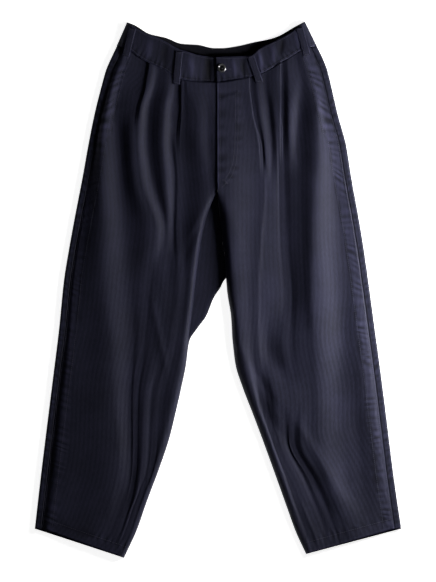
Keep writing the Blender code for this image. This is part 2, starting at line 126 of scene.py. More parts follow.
# Inner edge of each front panel: along, across.
FRONT_INNER_EDGE = {
    "right": [
        (384, 4),
        (200, 3),
        (185, -1),
        (172, -7),
        (160, -12),
        (138, -20),
        (92, -31),
        (27, -40),
        (-37, -47),
        (-95, -55),
        (-137, -59),
        (-182, -68),
        (-226, -78),
        (-271, -89),
        (-337, -111),
        (-404, -137),
        (-448, -152),
        (-496, -174),
    ],
    "left": [
        (384, -2),
        (185, -1),
        (128, 5),
        (55, 13),
        (20, 15),
        (-4, 17),
        (-49, 24),
        (-93, 27),
        (-137, 32),
        (-182, 46),
        (-226, 63),
        (-271, 80),
        (-337, 104),
        (-404, 128),
        (-448, 144),
        (-489, 163),
    ],
}

# Inner edge of each back panel: the centre back seam down to the crotch, then the inside of the leg. The two
# edges are 0.005 mm apart at the seam, so that no floor shows between them.
BACK_INNER_EDGE = {
    "right": [
        (402, -2.005),
        (185, -1.005),
        (128, 4.995),
        (55, 12.995),
        (20, 14.995),
        (16, 10),
        (7, 6),
        (-15, -8),
        (-49, -22),
        (-71, -38),
        (-95, -53),
        (-137, -59),
        (-182, -68),
        (-226, -78),
        (-271, -89),
        (-337, -111),
        (-404, -137),
        (-448, -152),
        (-496, -174),
    ],
    "left": [(402, -2)] + FRONT_INNER_EDGE["left"][1:],
}

# Waist seam of the front panels and top edges of the bands: across, along.
FRONT_SEAM = [(-187, 452.0), (-173, 449), (-144, 429), (-126, 419), (-98, 406), (-80, 394), (-63, 388)]
FRONT_SEAM += [(-43, 385), (-18, 384), (0, 384), (30, 388), (59, 394), (81, 401), (124, 425)]
FRONT_SEAM += [(168, 449), (182, 452.0)]
RIGHT_BAND_TOP = [(-168, 494), (-150, 483), (-135, 475), (-117, 468), (-98, 460), (-80, 449), (-61, 442)]
RIGHT_BAND_TOP += [(-33, 434), (-9, 431), (40, 431)]
LEFT_BAND_TOP = [(-4, 431), (41, 432), (62, 434), (76, 446), (96, 456), (133, 475), (160, 496)]
BACK_BAND_TOP = [(-168, 495), (-155, 490), (-126, 473), (-96, 466), (-67, 455), (-37, 453), (-7, 447)]
BACK_BAND_TOP += [(7, 447), (37, 451), (67, 458), (96, 464), (111, 469), (141, 486), (160, 496)]

# Large folds of each front panel. A row has the place along the garment, then each fold line's place
# across and its height above the surface that the trousers lie on.
RIGHT_FOLD_NAMES = (
    "outer_crest",
    "outer_trough",
    "outer_pleat",
    "dip",
    "middle_crest",
    "middle_trough",
    "inner_pleat",
    "inner_crest",
)
RIGHT_FOLDS = [
    (451, (-166, 9.5), (-155, 9), (-122, 10.4), (-105, 9.6),
     (-91, 9.8), (-81, 9.0), (-67, 11), (-56, 11.5)),
    (381, (-194, 12), (-181, 9.5), (-134, 13.5), (-115, 9.5),
     (-92, 12), (-78, 9.0), (-68, 12), (-57, 13)),
    (333, (-206, 14), (-189, 9), (-148, 16), (-128, 8.8),
     (-100, 15.5), (-84, 8.6), (-70, 12), (-43, 16.5)),
    (277, (-215, 16.5), (-183, 8.2), (-154, 17.5), (-130, 8.2),
     (-103, 16.5), (-86, 8.2), (-74, 10.5), (-33, 18)),
    (203, (-216, 19), (-178, 8), (-148, 17.5), (-120, 8.5),
     (-98, 15.5), (-80, 8.2), (-70, 9.6), (-18, 19)),
    (111, (-213, 18.5), (-170, 8), (-120, 16.5), (-98, 11),
     (-92, 11.2), (-82, 8.6), (-72, 10.5), (-33, 18.5)),
    (18, (-215, 18), (-165, 8), (-133, 10.5), (-115, 12), (-98, 13.5), (-81, 15), (-68, 16), (-47, 18)),
    (-93, (-202, 17), (-157, 8.2), (-141, 9.8), (-126, 11.2),
     (-111, 12.6), (-96, 14), (-83, 15), (-62, 16.5)),
    (-204, (-196, 16), (-161, 8.5), (-153, 9.8), (-144, 11.2),
     (-135, 12.6), (-123, 10.6), (-111, 11.6), (-84, 14.5)),
    (-315, (-185, 14.5), (-159, 9.2), (-154, 10.2), (-147, 11.4),
     (-141, 12.6), (-128, 10.6), (-122, 11), (-113, 12.5)),
    (-443, (-222, 10.5), (-196, 9.5), (-183, 10), (-175, 10.5),
     (-169, 11), (-164, 10.5), (-161, 10.6), (-158, 10.8)),
    (-496, (-274, 10), (-248, 9.5), (-233, 9.8), (-220, 10),
     (-207, 10.4), (-196, 10.2), (-189, 10.2), (-182, 10.4)),
]
LEFT_FOLD_NAMES = (
    "inner_crest",
    "inner_pleat",
    "slope",
    "crease",
    "middle_crest",
    "outer_pleat",
    "low_crest",
    "outer_dip",
    "outer_crest",
    "outer_trough",
)
LEFT_FOLDS = [
    (453, (18, 13), (58, 12), (70, 9), (85, 8.6), (98, 10),
     (115, 12), (126, 9), (139, 9), (152, 10.5), (163, 8.6)),
    (381, (18, 14), (58, 13), (72, 11), (87, 9.2), (98, 11),
     (116, 12.5), (131, 12.5), (152, 9.5), (170, 12.5), (189, 8.5)),
    (333, (15, 15), (64, 14.5), (77, 13), (94, 9.2), (104, 13),
     (117, 13.5), (131, 15), (149, 9), (183, 16.5), (196, 8.8)),
    (259, (13, 17), (79, 13.5), (87, 13), (100, 10), (109, 12),
     (117, 11.5), (133, 12.5), (146, 10.5), (184, 18.5), (211, 9.5)),
    (185, (15, 18.5), (81, 12), (91, 11.2), (100, 10.4), (110, 9.2),
     (118, 8.3), (135, 11), (152, 13.5), (179, 19.5), (218, 8.5)),
    (92, (24, 18.5), (74, 13.5), (85, 12.3), (96, 11), (109, 9.5),
     (121, 8.3), (139, 11), (155, 14.5), (176, 20), (228, 8)),
    (-19, (33, 18), (68, 14.5), (81, 13.3), (96, 11.8), (113, 10.2),
     (131, 8.8), (146, 12), (159, 15.5), (176, 20), (240, 8)),
    (-102, (43, 16.5), (70, 13), (81, 11.4), (92, 9.6), (105, 10.8),
     (128, 13), (146, 15), (163, 17), (181, 19), (235, 8.2)),
    (-204, (70, 15), (83, 10.6), (94, 11.8), (107, 14.5), (124, 14),
     (141, 13.7), (155, 13.5), (170, 13.6), (185, 14.4), (231, 8)),
    (-278, (96, 14), (105, 11), (113, 11.2), (120, 10.6), (128, 9.8),
     (137, 11.6), (154, 14.5), (168, 14.2), (185, 14.5), (237, 8.2)),
    (-352, (122, 13.5), (133, 11.5), (142, 11.4), (152, 10.8), (161, 9.6),
     (174, 11.5), (187, 13.6), (194, 14.6), (204, 15.4), (244, 8.6)),
    (-441, (152, 12), (165, 11), (176, 11), (187, 10.6), (198, 10.2),
     (211, 10.8), (222, 11.6), (231, 12), (240, 12.4), (285, 9.5)),
    (-489, (172, 11.5), (183, 11), (192, 11), (204, 10.6), (215, 10.4),
     (226, 10.6), (239, 11), (250, 11), (263, 11), (300, 9.5)),
]
FOLDS = {"right": RIGHT_FOLDS, "left": LEFT_FOLDS}
FOLD_NAMES = {"right": RIGHT_FOLD_NAMES, "left": LEFT_FOLD_NAMES}

# Pleats by name: where along the garment the fold is full, where its overlap has opened out, and where its
# step has smoothed away.
PLEATS = {
    ("right", "outer_pleat"): (400, 345, 290),
    ("right", "inner_pleat"): (380, 310, 245),
    ("left", "inner_pleat"): (384, 262, 205),
    ("left", "outer_pleat"): (390, 290, 220),
}

# Belt loops: across and along at the top, then at the bottom.
LOOPS = {
    "loop_front_right": ((-72, 441), (-77, 380)),
    "loop_front_left": ((60, 433), (77, 384)),
    "loop_side_right": ((-158, 484), (-171, 432)),
    "loop_side_left": ((151, 485), (165, 433)),
}

LOOP_ROWS = 40
LOOP_COLUMNS = 13
LOOP_STITCH_SHARE = 0.72
LOOP_RISE = 2.5

# Button, turned from profiles: radius, and height above the foot of the rim.
RIM_PROFILE = [(4.5, 0.2), (7.0, 0), (7.8, 0.9), (7.7, 2.2), (6.8, 3.1), (5.6, 3.2), (4.9, 2.6)]
RIM_PROFILE += [(4.6, 1.6)]
CENTRE_PROFILE = [(0, 0.2), (4.5, 0.2), (4.5, 1.2), (3.4, 1.0), (2.4, 1.2), (1.9, 1.9), (1.0, 2.3)]
CENTRE_PROFILE += [(0, 2.3)]
TURN_SEGMENTS = 48
AXIS_JOIN = 1e-7

# Stitch lines of the fly, and the widths of the sewn strips beside the side seam.
FLY_STITCH = [(37, 372), (37, 300), (36, 262), (33, 232), (26, 212), (17, 199), (8, 190)]
FLY_EDGE = [(4, 374), (4, 300), (4, 250), (4, 198)]
SEAM_STRIP = 20.0
POCKET_STRIP = 24.0
POCKET_LOW = 282.0
POCKET_TOP = (415, 445)
SEAM_STITCH = 2.0
HEM_STITCH = 19.0
BAND_STITCH = 5.0
GROOVE_WIDTH = 1.3
PUCKER_END = 8.0
CREASE_TAPER = 0.7

# Stitches of each kind of sewing: length, pitch and thickness of the thread.
SEAM_THREAD = (2.7, 3.6, 0.42)
LOOP_THREAD = (2.2, 3.0, 0.3)
LOOP_TACK_THREAD = (2.6, 2.4, 0.36)
PANEL_TACK_THREAD = (2.6, 2.4, 0.4)
BUTTONHOLE_THREAD = (1.9, 1.8, 0.32)
# One stitch: rings by place along it, width and rise, in shares of its length and its thread.
STITCH_RINGS = ((-0.5, 0.35, -0.25), (-0.3, 1.0, 0.2), (0.3, 1.0, 0.2), (0.5, 0.35, -0.25))
STITCH_SIDES = 5

# Sewing of the side seam, from the pocket to the hem, and of the pocket's two lines.
SEAM_SEWN = (POCKET_LOW - 8, HEM_OUTER + 2)
SEAM_POINTS = 30
POCKET_SEWN = (430, POCKET_LOW + 6)
POCKET_POINTS = 12
POCKET_LINES_APART = 6
# The fly's second stitch line, from its first: across and along.
FLY_SECOND = (-5, 4)

# Sewing of the bands, from end to end across: the line near the waist seam, then the one near the top.
BAND_LINES = {"right": ((-184, -4), (-160, -4)), "left": ((1, 179), (1, 155))}
BAND_POINTS = 24
BAND_LOW_LINE = 4.0
BAND_TOP_LINE = 3.5
LOOP_LINE = 4.4
LOOP_LINE_INSET = 4
LOOP_TACK = 4.5
LOOP_TACK_INSET = 2.5
TACK_TURNS = 9
TACK_HALF_WIDTH = 1.1
# Bar tacks at the foot of each pocket and at the end of the fly.
PANEL_TACKS = [((224, 287), (213, 283)), ((18, 196), (10, 204)), ((-228, 287), (-217, 283))]
# Buttonhole: its middle, half its length and width, its slant, and half the length of a stitch.
BUTTONHOLE = (15.5, 409.0)
BUTTONHOLE_SIZE = (8.5, 1.3)
BUTTONHOLE_SLANT = 0.12
BUTTONHOLE_STITCH = 0.9
BUTTONHOLE_STITCHES = 26

# Puckers of each sewn line: reach on each side, spacing, height of a ripple, depth of the groove.
HEM_PUCKERS = (8.0, 12.0, 0.35, 0.3)
FLY_PUCKERS = (6.0, 19.0, 0.3, 0.3)
FLY_EDGE_PUCKERS = (9.0, 27.0, 0.4, 0.2)
BAND_PUCKERS = (9.0, 10.0, 0.3, 0.3)

# Ripples of each sewn strip: width, spacing, and a shift that makes them differ.
STRIP_RIPPLES = {
    "right": (SEAM_STRIP, 13.0, 1.7),
    "left": (SEAM_STRIP, 13.0, 0.0),
    "pocket": (POCKET_STRIP, 15.0, 0.8),
    "back": (SEAM_INSET, 13.0, 0.6),
}

# Smaller creases: a path, then a half width and a height, which is below 0 for a trough.
CREASES = {
    "right": [
        ([(-18, 166), (-34, 138), (-52, 101)], 5, 1.1),
        ([(-24, 138), (-46, 96), (-67, 51)], 6, -1.0),
        ([(-58, 372), (-46, 330), (-41, 285)], 4, -0.9),
        ([(-18, 382), (-19, 290), (-14, 196)], 8, -2.0),
        ([(-240, 314), (-250, 190), (-255, 55)], 9, -1.0),
        ([(-265, -19), (-276, -130), (-283, -241)], 9, 1.0),
        ([(-126, 0), (-110, -80), (-92, -167)], 7, 1.2),
        ([(-190, -259), (-199, -340), (-203, -426)], 9, 1.3),
        ([(-240, -250), (-252, -340), (-262, -440)], 14, -1.2),
        ([(-126, -352), (-140, -410), (-153, -472)], 6, 1.0),
        ([(-150, -300), (-160, -370), (-176, -440)], 7, -1.1),
        ([(-222, 60), (-232, -60), (-238, -190)], 16, -1.6),
        ([(-84, 150), (-92, 60), (-88, -30)], 10, -1.2),
    ],
    "left": [
        ([(13, 166), (28, 120), (41, 74)], 6, 0.9),
        ([(26, -75), (52, -130), (81, -195)], 7, 1.1),
        ([(41, -111), (80, -170), (124, -241)], 8, -1.0),
        ([(96, -102), (112, -138), (133, -176)], 14, -2.2),
        ([(68, -195), (86, -226), (105, -260)], 10, -1.4),
        ([(115, -250), (160, -330), (213, -422)], 11, -1.6),
        ([(137, -232), (185, -310), (235, -398)], 9, 1.6),
        ([(152, -389), (168, -430), (189, -472)], 5, 0.9),
        ([(152, 425), (140, 340), (131, 259)], 8, 1.2),
        ([(44, 378), (50, 320), (62, 268)], 5, -0.9),
        ([(200, 120), (214, 20), (226, -90)], 10, -1.2),
        ([(246, -180), (262, -290), (274, -400)], 12, -1.4),
        ([(6, 372), (24, 366), (40, 372)], 3, -0.9),
        ([(4, 352), (20, 357), (44, 364)], 3, 0.8),
        ([(246, 60), (264, -100), (277, -220), (292, -350), (300, -440)], 19, 4.6),
    ],
    "right_band": [
        ([(-52, 434), (-50, 412), (-48, 392)], 6, 0.8),
        ([(-126, 466), (-129, 446), (-131, 425)], 7, 0.7),
        ([(-17, 436), (-17, 410), (-17, 380)], 6, -1.3),
        ([(-95, 456), (-99, 436), (-100, 414)], 5, -0.6),
    ],
    "left_band": [
        ([(74, 447), (78, 425), (81, 403)], 4, 1.2),
        ([(120, 466), (118, 450), (115, 434)], 4, -0.9),
        ([(144, 482), (147, 465), (152, 446)], 5, 0.9),
        ([(26, 429), (30, 410), (33, 392)], 5, 0.8),
        ([(48, 430), (46, 410), (52, 396)], 4, -0.8),
        ([(98, 455), (103, 440), (101, 418)], 5, 0.8),
    ],
    "back_right": [
        ([(-60, 330), (-90, 200), (-110, 60)], 9, 1.3),
        ([(-150, 300), (-170, 120), (-180, -60)], 12, 1.1),
        ([(-40, 60), (-100, 20), (-170, 10)], 7, 1.4),
        ([(-120, -120), (-180, -170), (-260, -180)], 8, 1.2),
        ([(-180, -260), (-210, -340), (-220, -430)], 8, 1.0),
    ],
    "back_left": [
        ([(70, 330), (86, 210), (120, 70)], 9, 1.2),
        ([(160, 290), (168, 130), (186, -40)], 12, 1.2),
        ([(40, 50), (96, 24), (160, 4)], 7, 1.3),
        ([(110, -130), (176, -160), (250, -190)], 8, 1.3),
        ([(190, -270), (204, -350), (226, -420)], 8, 1.1),
    ],
}

# Finish of the cloth and metal: sizes in metres, and strengths from 0 to 1.
STRIPE_WIDTH = 0.0042
YARN_PITCH = 0.0012
YARN_RELIEF = 0.0003
BUMP_STRENGTH = 0.35
CLOTH_PATCH = 0.06
METAL_PATCH = 0.002
STREAK_SCALE = (900.0, 130.0, 900.0)
STRIPE_STRENGTH = 0.1
PATCH_LEVEL = 0.35
PATCH_STRENGTH = 0.5
STREAK_STRENGTH = 0.5
# Wear lightens worn ridges and edges; below 0 the same value paints shade in grooves and hollows.
WEAR_AND_SHADE_STRENGTH = 0.9
# How far painted shade takes the cloth towards its groove colour.
GROOVE_SHADE_STRENGTH = 1.2
ROUGHNESS_SPREAD = 0.12
SCRATCH_STRENGTH = 0.2

# Colours as red, green and blue: deep, faded, and darker as painted shade in sewn grooves and hollows; or
# bright and worn.
NAVY = ((0.0125, 0.013, 0.025), (0.045, 0.045, 0.092), (0.003, 0.003, 0.006))
NAVY_INSIDE = ((0.006, 0.006, 0.01), (0.016, 0.016, 0.026), (0.004, 0.004, 0.006))
NAVY_THREAD = ((0.03, 0.03, 0.05), (0.09, 0.09, 0.14), (0.02, 0.02, 0.03))
RIM_METAL = ((0.6, 0.6, 0.6), (0.2, 0.2, 0.2))
# The centre's near black is painted shade for the button's open middle.
CENTRE_METAL = ((0.05, 0.05, 0.055), (0.02, 0.02, 0.022))

# How much fuller the folds lie here than in the solids, above this height. It starts below the waist and
# ends above the hem.
FOLD_LEVEL = 8.5
FOLD_FULLNESS = {"right": -0.12, "left": 0.3}
FULLNESS_WAIST = (300, 375)
FULLNESS_HEM = (-480, -380)

# Least room across on each side of a fold line, and the stretch where the fly's level edge rolls down.
LINE_ROOM = 1.5
PLEAT_ROOM = 4.5
FLY_ROLLS_DOWN = (125, 190)
WAIST_SEAM_REACH = 0.16

# Rows and columns of the fine meshes, and how often a column's rows are fitted again to its slant.
PANEL_ROWS = 300
BACK_ROWS = 190
SPAN_COLUMNS = 7
PLEAT_COLUMNS = 3
PLEAT_STEPS = 7
ROLL_COLUMNS = 10
BACK_FLAT_COLUMNS = 44
BACK_TURN_COLUMNS = 10
BACK_TOP_COLUMNS = 6
FRONT_PASSES = 5
BACK_PASSES = 4
BAND_ROWS = 22
ABOVE_ALL = 60.0


def smooth_span(t, start, end, slope_start, slope_end):
    """A smooth way from one value to another as t goes from 0 to 1, with these slopes at its ends."""
    return (
        (2 * t**3 - 3 * t**2 + 1) * start
        + (t**3 - 2 * t**2 + t) * slope_start
        + (3 * t**2 - 2 * t**3) * end
        + (t**3 - t**2) * slope_end
    )


def smooth_line(places, values, at):
    """A curve through the values that never overshoots them."""
    places = np.asarray(places, float)
    values = np.asarray(values, float)
    if places[0] > places[-1]:
        places = places[::-1]
        values = values[::-1]
    steps = np.diff(places)
    slopes = np.diff(values) / steps
    tangents = np.zeros(len(places))
    same_way = slopes[:-1] * slopes[1:] > 0
    weight_left = 2 * steps[1:] + steps[:-1]
    weight_right = steps[1:] + 2 * steps[:-1]
    with np.errstate(divide="ignore", invalid="ignore"):
        middle = (weight_left + weight_right) / (weight_left / slopes[:-1] + weight_right / slopes[1:])
    tangents[1:-1] = np.where(same_way, middle, 0)
    tangents[0] = slopes[0]
    tangents[-1] = slopes[-1]
    at = np.clip(np.asarray(at, float), places[0], places[-1])
    index = np.clip(np.searchsorted(places, at, side="right") - 1, 0, len(places) - 2)
    step = steps[index]
    t = (at - places[index]) / step
    ends = (values[index], values[index + 1])
    return smooth_span(t, *ends, step * tangents[index], step * tangents[index + 1])


def ease(start, end, value):
    """0 at the start and 1 at the end, with soft ends."""
    t = np.clip((value - start) / (end - start), 0, 1)
    return t * t * (3 - 2 * t)


def table_line(table, column, at):
    """A column of a table, read at these places in its first column."""
    return smooth_line([row[0] for row in table], [row[column] for row in table], at)


def outer_edge(side, along):
    return table_line(OUTER_EDGE, 1 if side == "right" else 2, along)


def side_seam(side, along):
    """The front panel's edge at the side seam, which shows inside the garment's outer fold."""
    return outer_edge(side, along) + INWARD[side] * (SEAM_INSET + SEAM_GAP / 2)


def front_inner(side, along):
    return table_line(FRONT_INNER_EDGE[side], 1, along)


def back_inner(side, along):
    return table_line(BACK_INNER_EDGE[side], 1, along)


def top_seam(across):
    return table_line(FRONT_SEAM, 1, across)


def fold_line(side, name, along):
    """A fold line's place across and its height, at each place along the garment."""
    column = 1 + FOLD_NAMES[side].index(name)
    places = [row[0] for row in FOLDS[side]]
    across = smooth_line(places, [row[column][0] for row in FOLDS[side]], along)
    height = smooth_line(places, [row[column][1] for row in FOLDS[side]], along)
    reach = (1 - ease(*FULLNESS_WAIST, along)) * ease(*FULLNESS_HEM, along)
    return across, FOLD_LEVEL + (height - FOLD_LEVEL) * (1 + FOLD_FULLNESS[side] * reach)


def fold_lines(side, along):
    """All fold lines of a front panel, kept apart, between the side seam and the inner roll."""
    room = {"outer_pleat": PLEAT_ROOM, "inner_pleat": PLEAT_ROOM}
    lines = [(name, *fold_line(side, name, along)) for name in FOLD_NAMES[side]]
    seam = ("seam", side_seam(side, along), np.full_like(along, SIDE_TOP))
    edge = front_inner(side, along)
    kept = []
    if side == "right":
        limit = edge - EDGE_ROLL
        for name, across, height in reversed([seam] + lines):
            across = np.minimum(across, limit - room.get(name, LINE_ROOM))
            limit = across - room.get(name, LINE_ROOM)
            kept.insert(0, (name, across, height))
        return kept
    limit = edge + EDGE_ROLL
    for name, across, height in lines + [seam]:
        across = np.maximum(across, limit + room.get(name, LINE_ROOM))
        limit = across + room.get(name, LINE_ROOM)
        kept.append((name, across, height))
    return kept


def pleat_points(side, opened, step):
    """Eight points across a pleat at each place: across from its edge, and height over its under layer."""
    nose = 0.55
    turn = 0.5
    folded = [-5, -turn, nose, -turn, turn - PLEAT_DEPTH, -nose - PLEAT_DEPTH, turn - PLEAT_DEPTH, 4]
    spread = [-5, -3.2, -1.6, -0.8, 0.8, 1.6, 3.2, 4]
    heights = [2, 2, 1.5, 1, 1, 0.5, 0, 0]
    across = [f * (1 - opened) + s * opened for f, s in zip(folded, spread)]
    rise = [h * LAYER_STEP * step for h in heights]
    if side == "right":
        across = [-a for a in reversed(across)]
        rise = list(reversed(rise))
    return across, rise


def through_points(points, s):
    """A place on the smooth curve through these points, where s counts the points."""
    i = min(int(s), len(points) - 2)
    t = s - i
    before = points[max(i - 1, 0)]
    start = points[i]
    end = points[i + 1]
    after = points[min(i + 2, len(points) - 1)]
    return smooth_span(t, start, end, (end - before) / 2, (after - start) / 2)


def pleat_curve(side, name, along, across, height, s):
    """Across and height of a pleat, where s counts its points. It opens and smooths away down the leg."""
    full, opened_at, smooth_at = PLEATS[(side, name)]
    opened = 1 - ease(opened_at, full, along)
    step = ease(smooth_at, opened_at, along)
    xs, rises = pleat_points(side, opened, step)
    base = height - 2 * LAYER_STEP * step
    return across + through_points(xs, s), base + through_points(rises, s)


def left_edge_height(along):
    """Height of the left front's edge, which lies over the right front at the fly."""
    return fold_line("left", "inner_crest", along)[1]


def column_plan(side):
    """What each column of a front panel follows: a fold line, a pleat, a span or the inner roll."""
    names = list(FOLD_NAMES[side])
    names = ["seam"] + names if side == "right" else names + ["seam"]
    plan = []
    for i, name in enumerate(names):
        if (side, name) in PLEATS:
            count = PLEAT_STEPS * PLEAT_COLUMNS
            plan += [("pleat", i, j / PLEAT_COLUMNS) for j in range(count + 1)]
        else:
            plan.append(("line", i, 0.0))
        if i + 1 < len(names):
            plan += [("span", i, j / SPAN_COLUMNS) for j in range(1, SPAN_COLUMNS)]
    roll = [("roll", 0, j / ROLL_COLUMNS) for j in range(1, ROLL_COLUMNS + 1)]
    return plan + roll if side == "right" else roll[::-1] + plan


def line_end(side, lines, i, along, last):
    """The first or last point of a fold line or pleat."""
    name, across, height = lines[i]
    if (side, name) in PLEATS:
        return pleat_curve(side, name, along, across, height, PLEAT_STEPS if last else 0)
    return across, height


def fold_slope(side, lines, i, along):
    """How steeply the cloth crosses a fold line: level at a crest, a trough or a pleat."""
    name, across, height = lines[i]
    if i in (0, len(lines) - 1) or (side, name) in PLEATS:
        return np.zeros_like(along)
    x0, z0 = line_end(side, lines, i - 1, along, True)
    x1, z1 = line_end(side, lines, i + 1, along, False)
    before = (height - z0) / (across - x0)
    after = (z1 - height) / (x1 - across)
    with np.errstate(divide="ignore", invalid="ignore"):
        middle = 2 * before * after / (before + after)
    return np.where(before * after > 0, middle, 0)


def column_points(side, what, along):
    """Across and height of one column of a front panel, at each place along it."""
    kind, i, t = what
    lines = fold_lines(side, along)
    if kind == "line":
        return lines[i][1], lines[i][2]
    if kind == "pleat":
        name, across, height = lines[i]
        return pleat_curve(side, name, along, across, height, t)
    if kind == "span":
        x0, z0 = line_end(side, lines, i, along, True)
        x1, z1 = line_end(side, lines, i + 1, along, False)
        width = x1 - x0
        slope0 = fold_slope(side, lines, i, along)
        slope1 = fold_slope(side, lines, i + 1, along)
        return x0 + width * t, smooth_span(t, z0, z1, width * slope0, width * slope1)
    last = lines[-1] if side == "right" else lines[0]
    wall = front_inner(side, along) - INWARD[side] * CLOTH / 2
    rolled = 1 - ease(*FLY_ROLLS_DOWN, along)
    crest = last[2]
    level = crest if side == "left" else left_edge_height(along) - FLY_STEP
    foot = level * (1 - rolled) + EDGE_FOOT * rolled
    angle = math.pi / 2 * t
    return last[1] + (wall - last[1]) * math.sin(angle), foot + (crest - foot) * math.cos(angle)


def row_alongs(side, shares, across, inner, outer, inner_top, follows_seam):
    """How far along the garment each row is, at each place across it."""
    inner_along = inner_top + (HEM_INNER[side] - inner_top) * shares
    outer_along = SIDE_TOP_ALONG + (HEM_OUTER - SIDE_TOP_ALONG) * shares
    t = np.clip((across - inner) / (outer - inner), 0, 1)
    straight = inner_along + (outer_along - inner_along) * t
    if not follows_seam:
        return straight
    top_line = inner_top + (SIDE_TOP_ALONG - inner_top) * t
    return straight + (1 - ease(0, WAIST_SEAM_REACH, shares)) * (top_seam(across) - top_line)


def panel_grid(side, plan, column, edges, top, rows, passes, follows_seam):
    """Rows of mid points of a panel. Each column keeps to its own line from the waist to the hem."""
    shares = np.linspace(0, 1, rows)
    inner_along = top + (HEM_INNER[side] - top) * shares
    outer_along = SIDE_TOP_ALONG + (HEM_OUTER - SIDE_TOP_ALONG) * shares
    inner = edges[0](side, inner_along)
    outer = edges[1](side, outer_along)
    columns = []
    for what in plan:
        along = (inner_along + outer_along) / 2
        for _ in range(passes):
            across = column(side, what, along)[0]
            along = row_alongs(side, shares, across, inner, outer, top, follows_seam)
        across, height = column(side, what, along)
        columns.append(np.stack([across, along, height], axis=1))
    return np.stack(columns, axis=1)


def front_grid(side):
    """Mid points of a front panel, between its inner edge and the side seam."""
    edges = (front_inner, side_seam)
    plan = column_plan(side)
    return panel_grid(side, plan, column_points, edges, FRONT_TOP, PANEL_ROWS, FRONT_PASSES, True)


def back_column(side, what, along):
    """Across and height of one column of a back panel, on its flat part, its outer fold or its top."""
    kind, t = what
    inward = INWARD[side]
    inner = back_inner(side, along)
    outer = outer_edge(side, along) + inward * CLOTH / 2
    centre = outer + inward * FOLD_RADIUS
    if kind == "flat":
        return inner + (centre - inner) * t, np.full_like(along, CLOTH / 2)
    if kind == "turn":
        angle = math.pi * t
        height = CLOTH / 2 + FOLD_RADIUS * (1 - math.cos(angle))
        return centre - inward * FOLD_RADIUS * math.sin(angle), np.full_like(along, height)
    end = outer_edge(side, along) + inward * (SEAM_INSET - SEAM_GAP / 2)
    return centre + (end - centre) * t, np.full_like(along, SIDE_TOP)


def back_grid(side):
    """Mid points of a back panel, from its centre or inner edge round the outer fold to the side seam."""
    plan = [("flat", j / BACK_FLAT_COLUMNS) for j in range(BACK_FLAT_COLUMNS + 1)]
    plan += [("turn", j / BACK_TURN_COLUMNS) for j in range(1, BACK_TURN_COLUMNS + 1)]
    plan += [("top", j / BACK_TOP_COLUMNS) for j in range(1, BACK_TOP_COLUMNS + 1)]
    edges = (back_inner, outer_edge)
    return panel_grid(side, plan, back_column, edges, BACK_TOP, BACK_ROWS, BACK_PASSES, False)


def normals_of(grid):
    """The upward normal of the mid surface at each of its points."""
    down = np.gradient(grid, axis=0)
    across = np.gradient(grid, axis=1)
    normals = np.cross(across, down)
    lengths = np.linalg.norm(normals, axis=2, keepdims=True)
    normals = normals / np.maximum(lengths, 1e-9)
    return -normals if normals[:, :, 2].sum() < 0 else normals


def near_path(x, y, path):
    """For each point, how far along a path its nearest place is, how far off it, and the path's length."""
    points = np.asarray(path, float)
    best = np.full(x.shape, 1e9)
    place = np.zeros(x.shape)
    start = 0.0
    for (x0, y0), (x1, y1) in zip(points[:-1], points[1:]):
        length = math.hypot(x1 - x0, y1 - y0)
        t = np.clip(((x - x0) * (x1 - x0) + (y - y0) * (y1 - y0)) / length**2, 0, 1)
        gap = np.hypot(x - x0 - t * (x1 - x0), y - y0 - t * (y1 - y0))
        nearer = gap < best
        best = np.where(nearer, gap, best)
        place = np.where(nearer, start + t * length, place)
        start += length
    return place, best, start


def near(gap, width):
    """1 on a line and soft towards 0 away from it."""
    return np.exp(-((gap / width) ** 2))


def crease(x, y, path, width, height):
    """A soft ridge along a path, or a trough where the height is below 0, that fades at both ends."""
    place, gap, length = near_path(x, y, path)
    fade_and_shade = np.sin(np.pi * np.clip(place / length, 0.02, 0.98)) ** CREASE_TAPER
    return height * fade_and_shade * near(gap, width)


def puckers(x, y, path, width, spacing, height, groove):
    """Small ripples that a seam's stitches draw up across it, and the groove of the stitches."""
    place, gap, length = near_path(x, y, path)
    ends = ease(0, PUCKER_END, place) * (1 - ease(length - PUCKER_END, length, place))
    phase = 2 * np.pi * place / spacing
    ripple = np.sin(phase + 0.9 * np.sin(phase * 0.37) + 0.06 * gap)
    ripple = ripple * (0.75 + 0.25 * np.sin(phase * 0.23 + 1))
    return ends * (height * ripple * near(gap, width) - groove * near(gap, GROOVE_WIDTH))


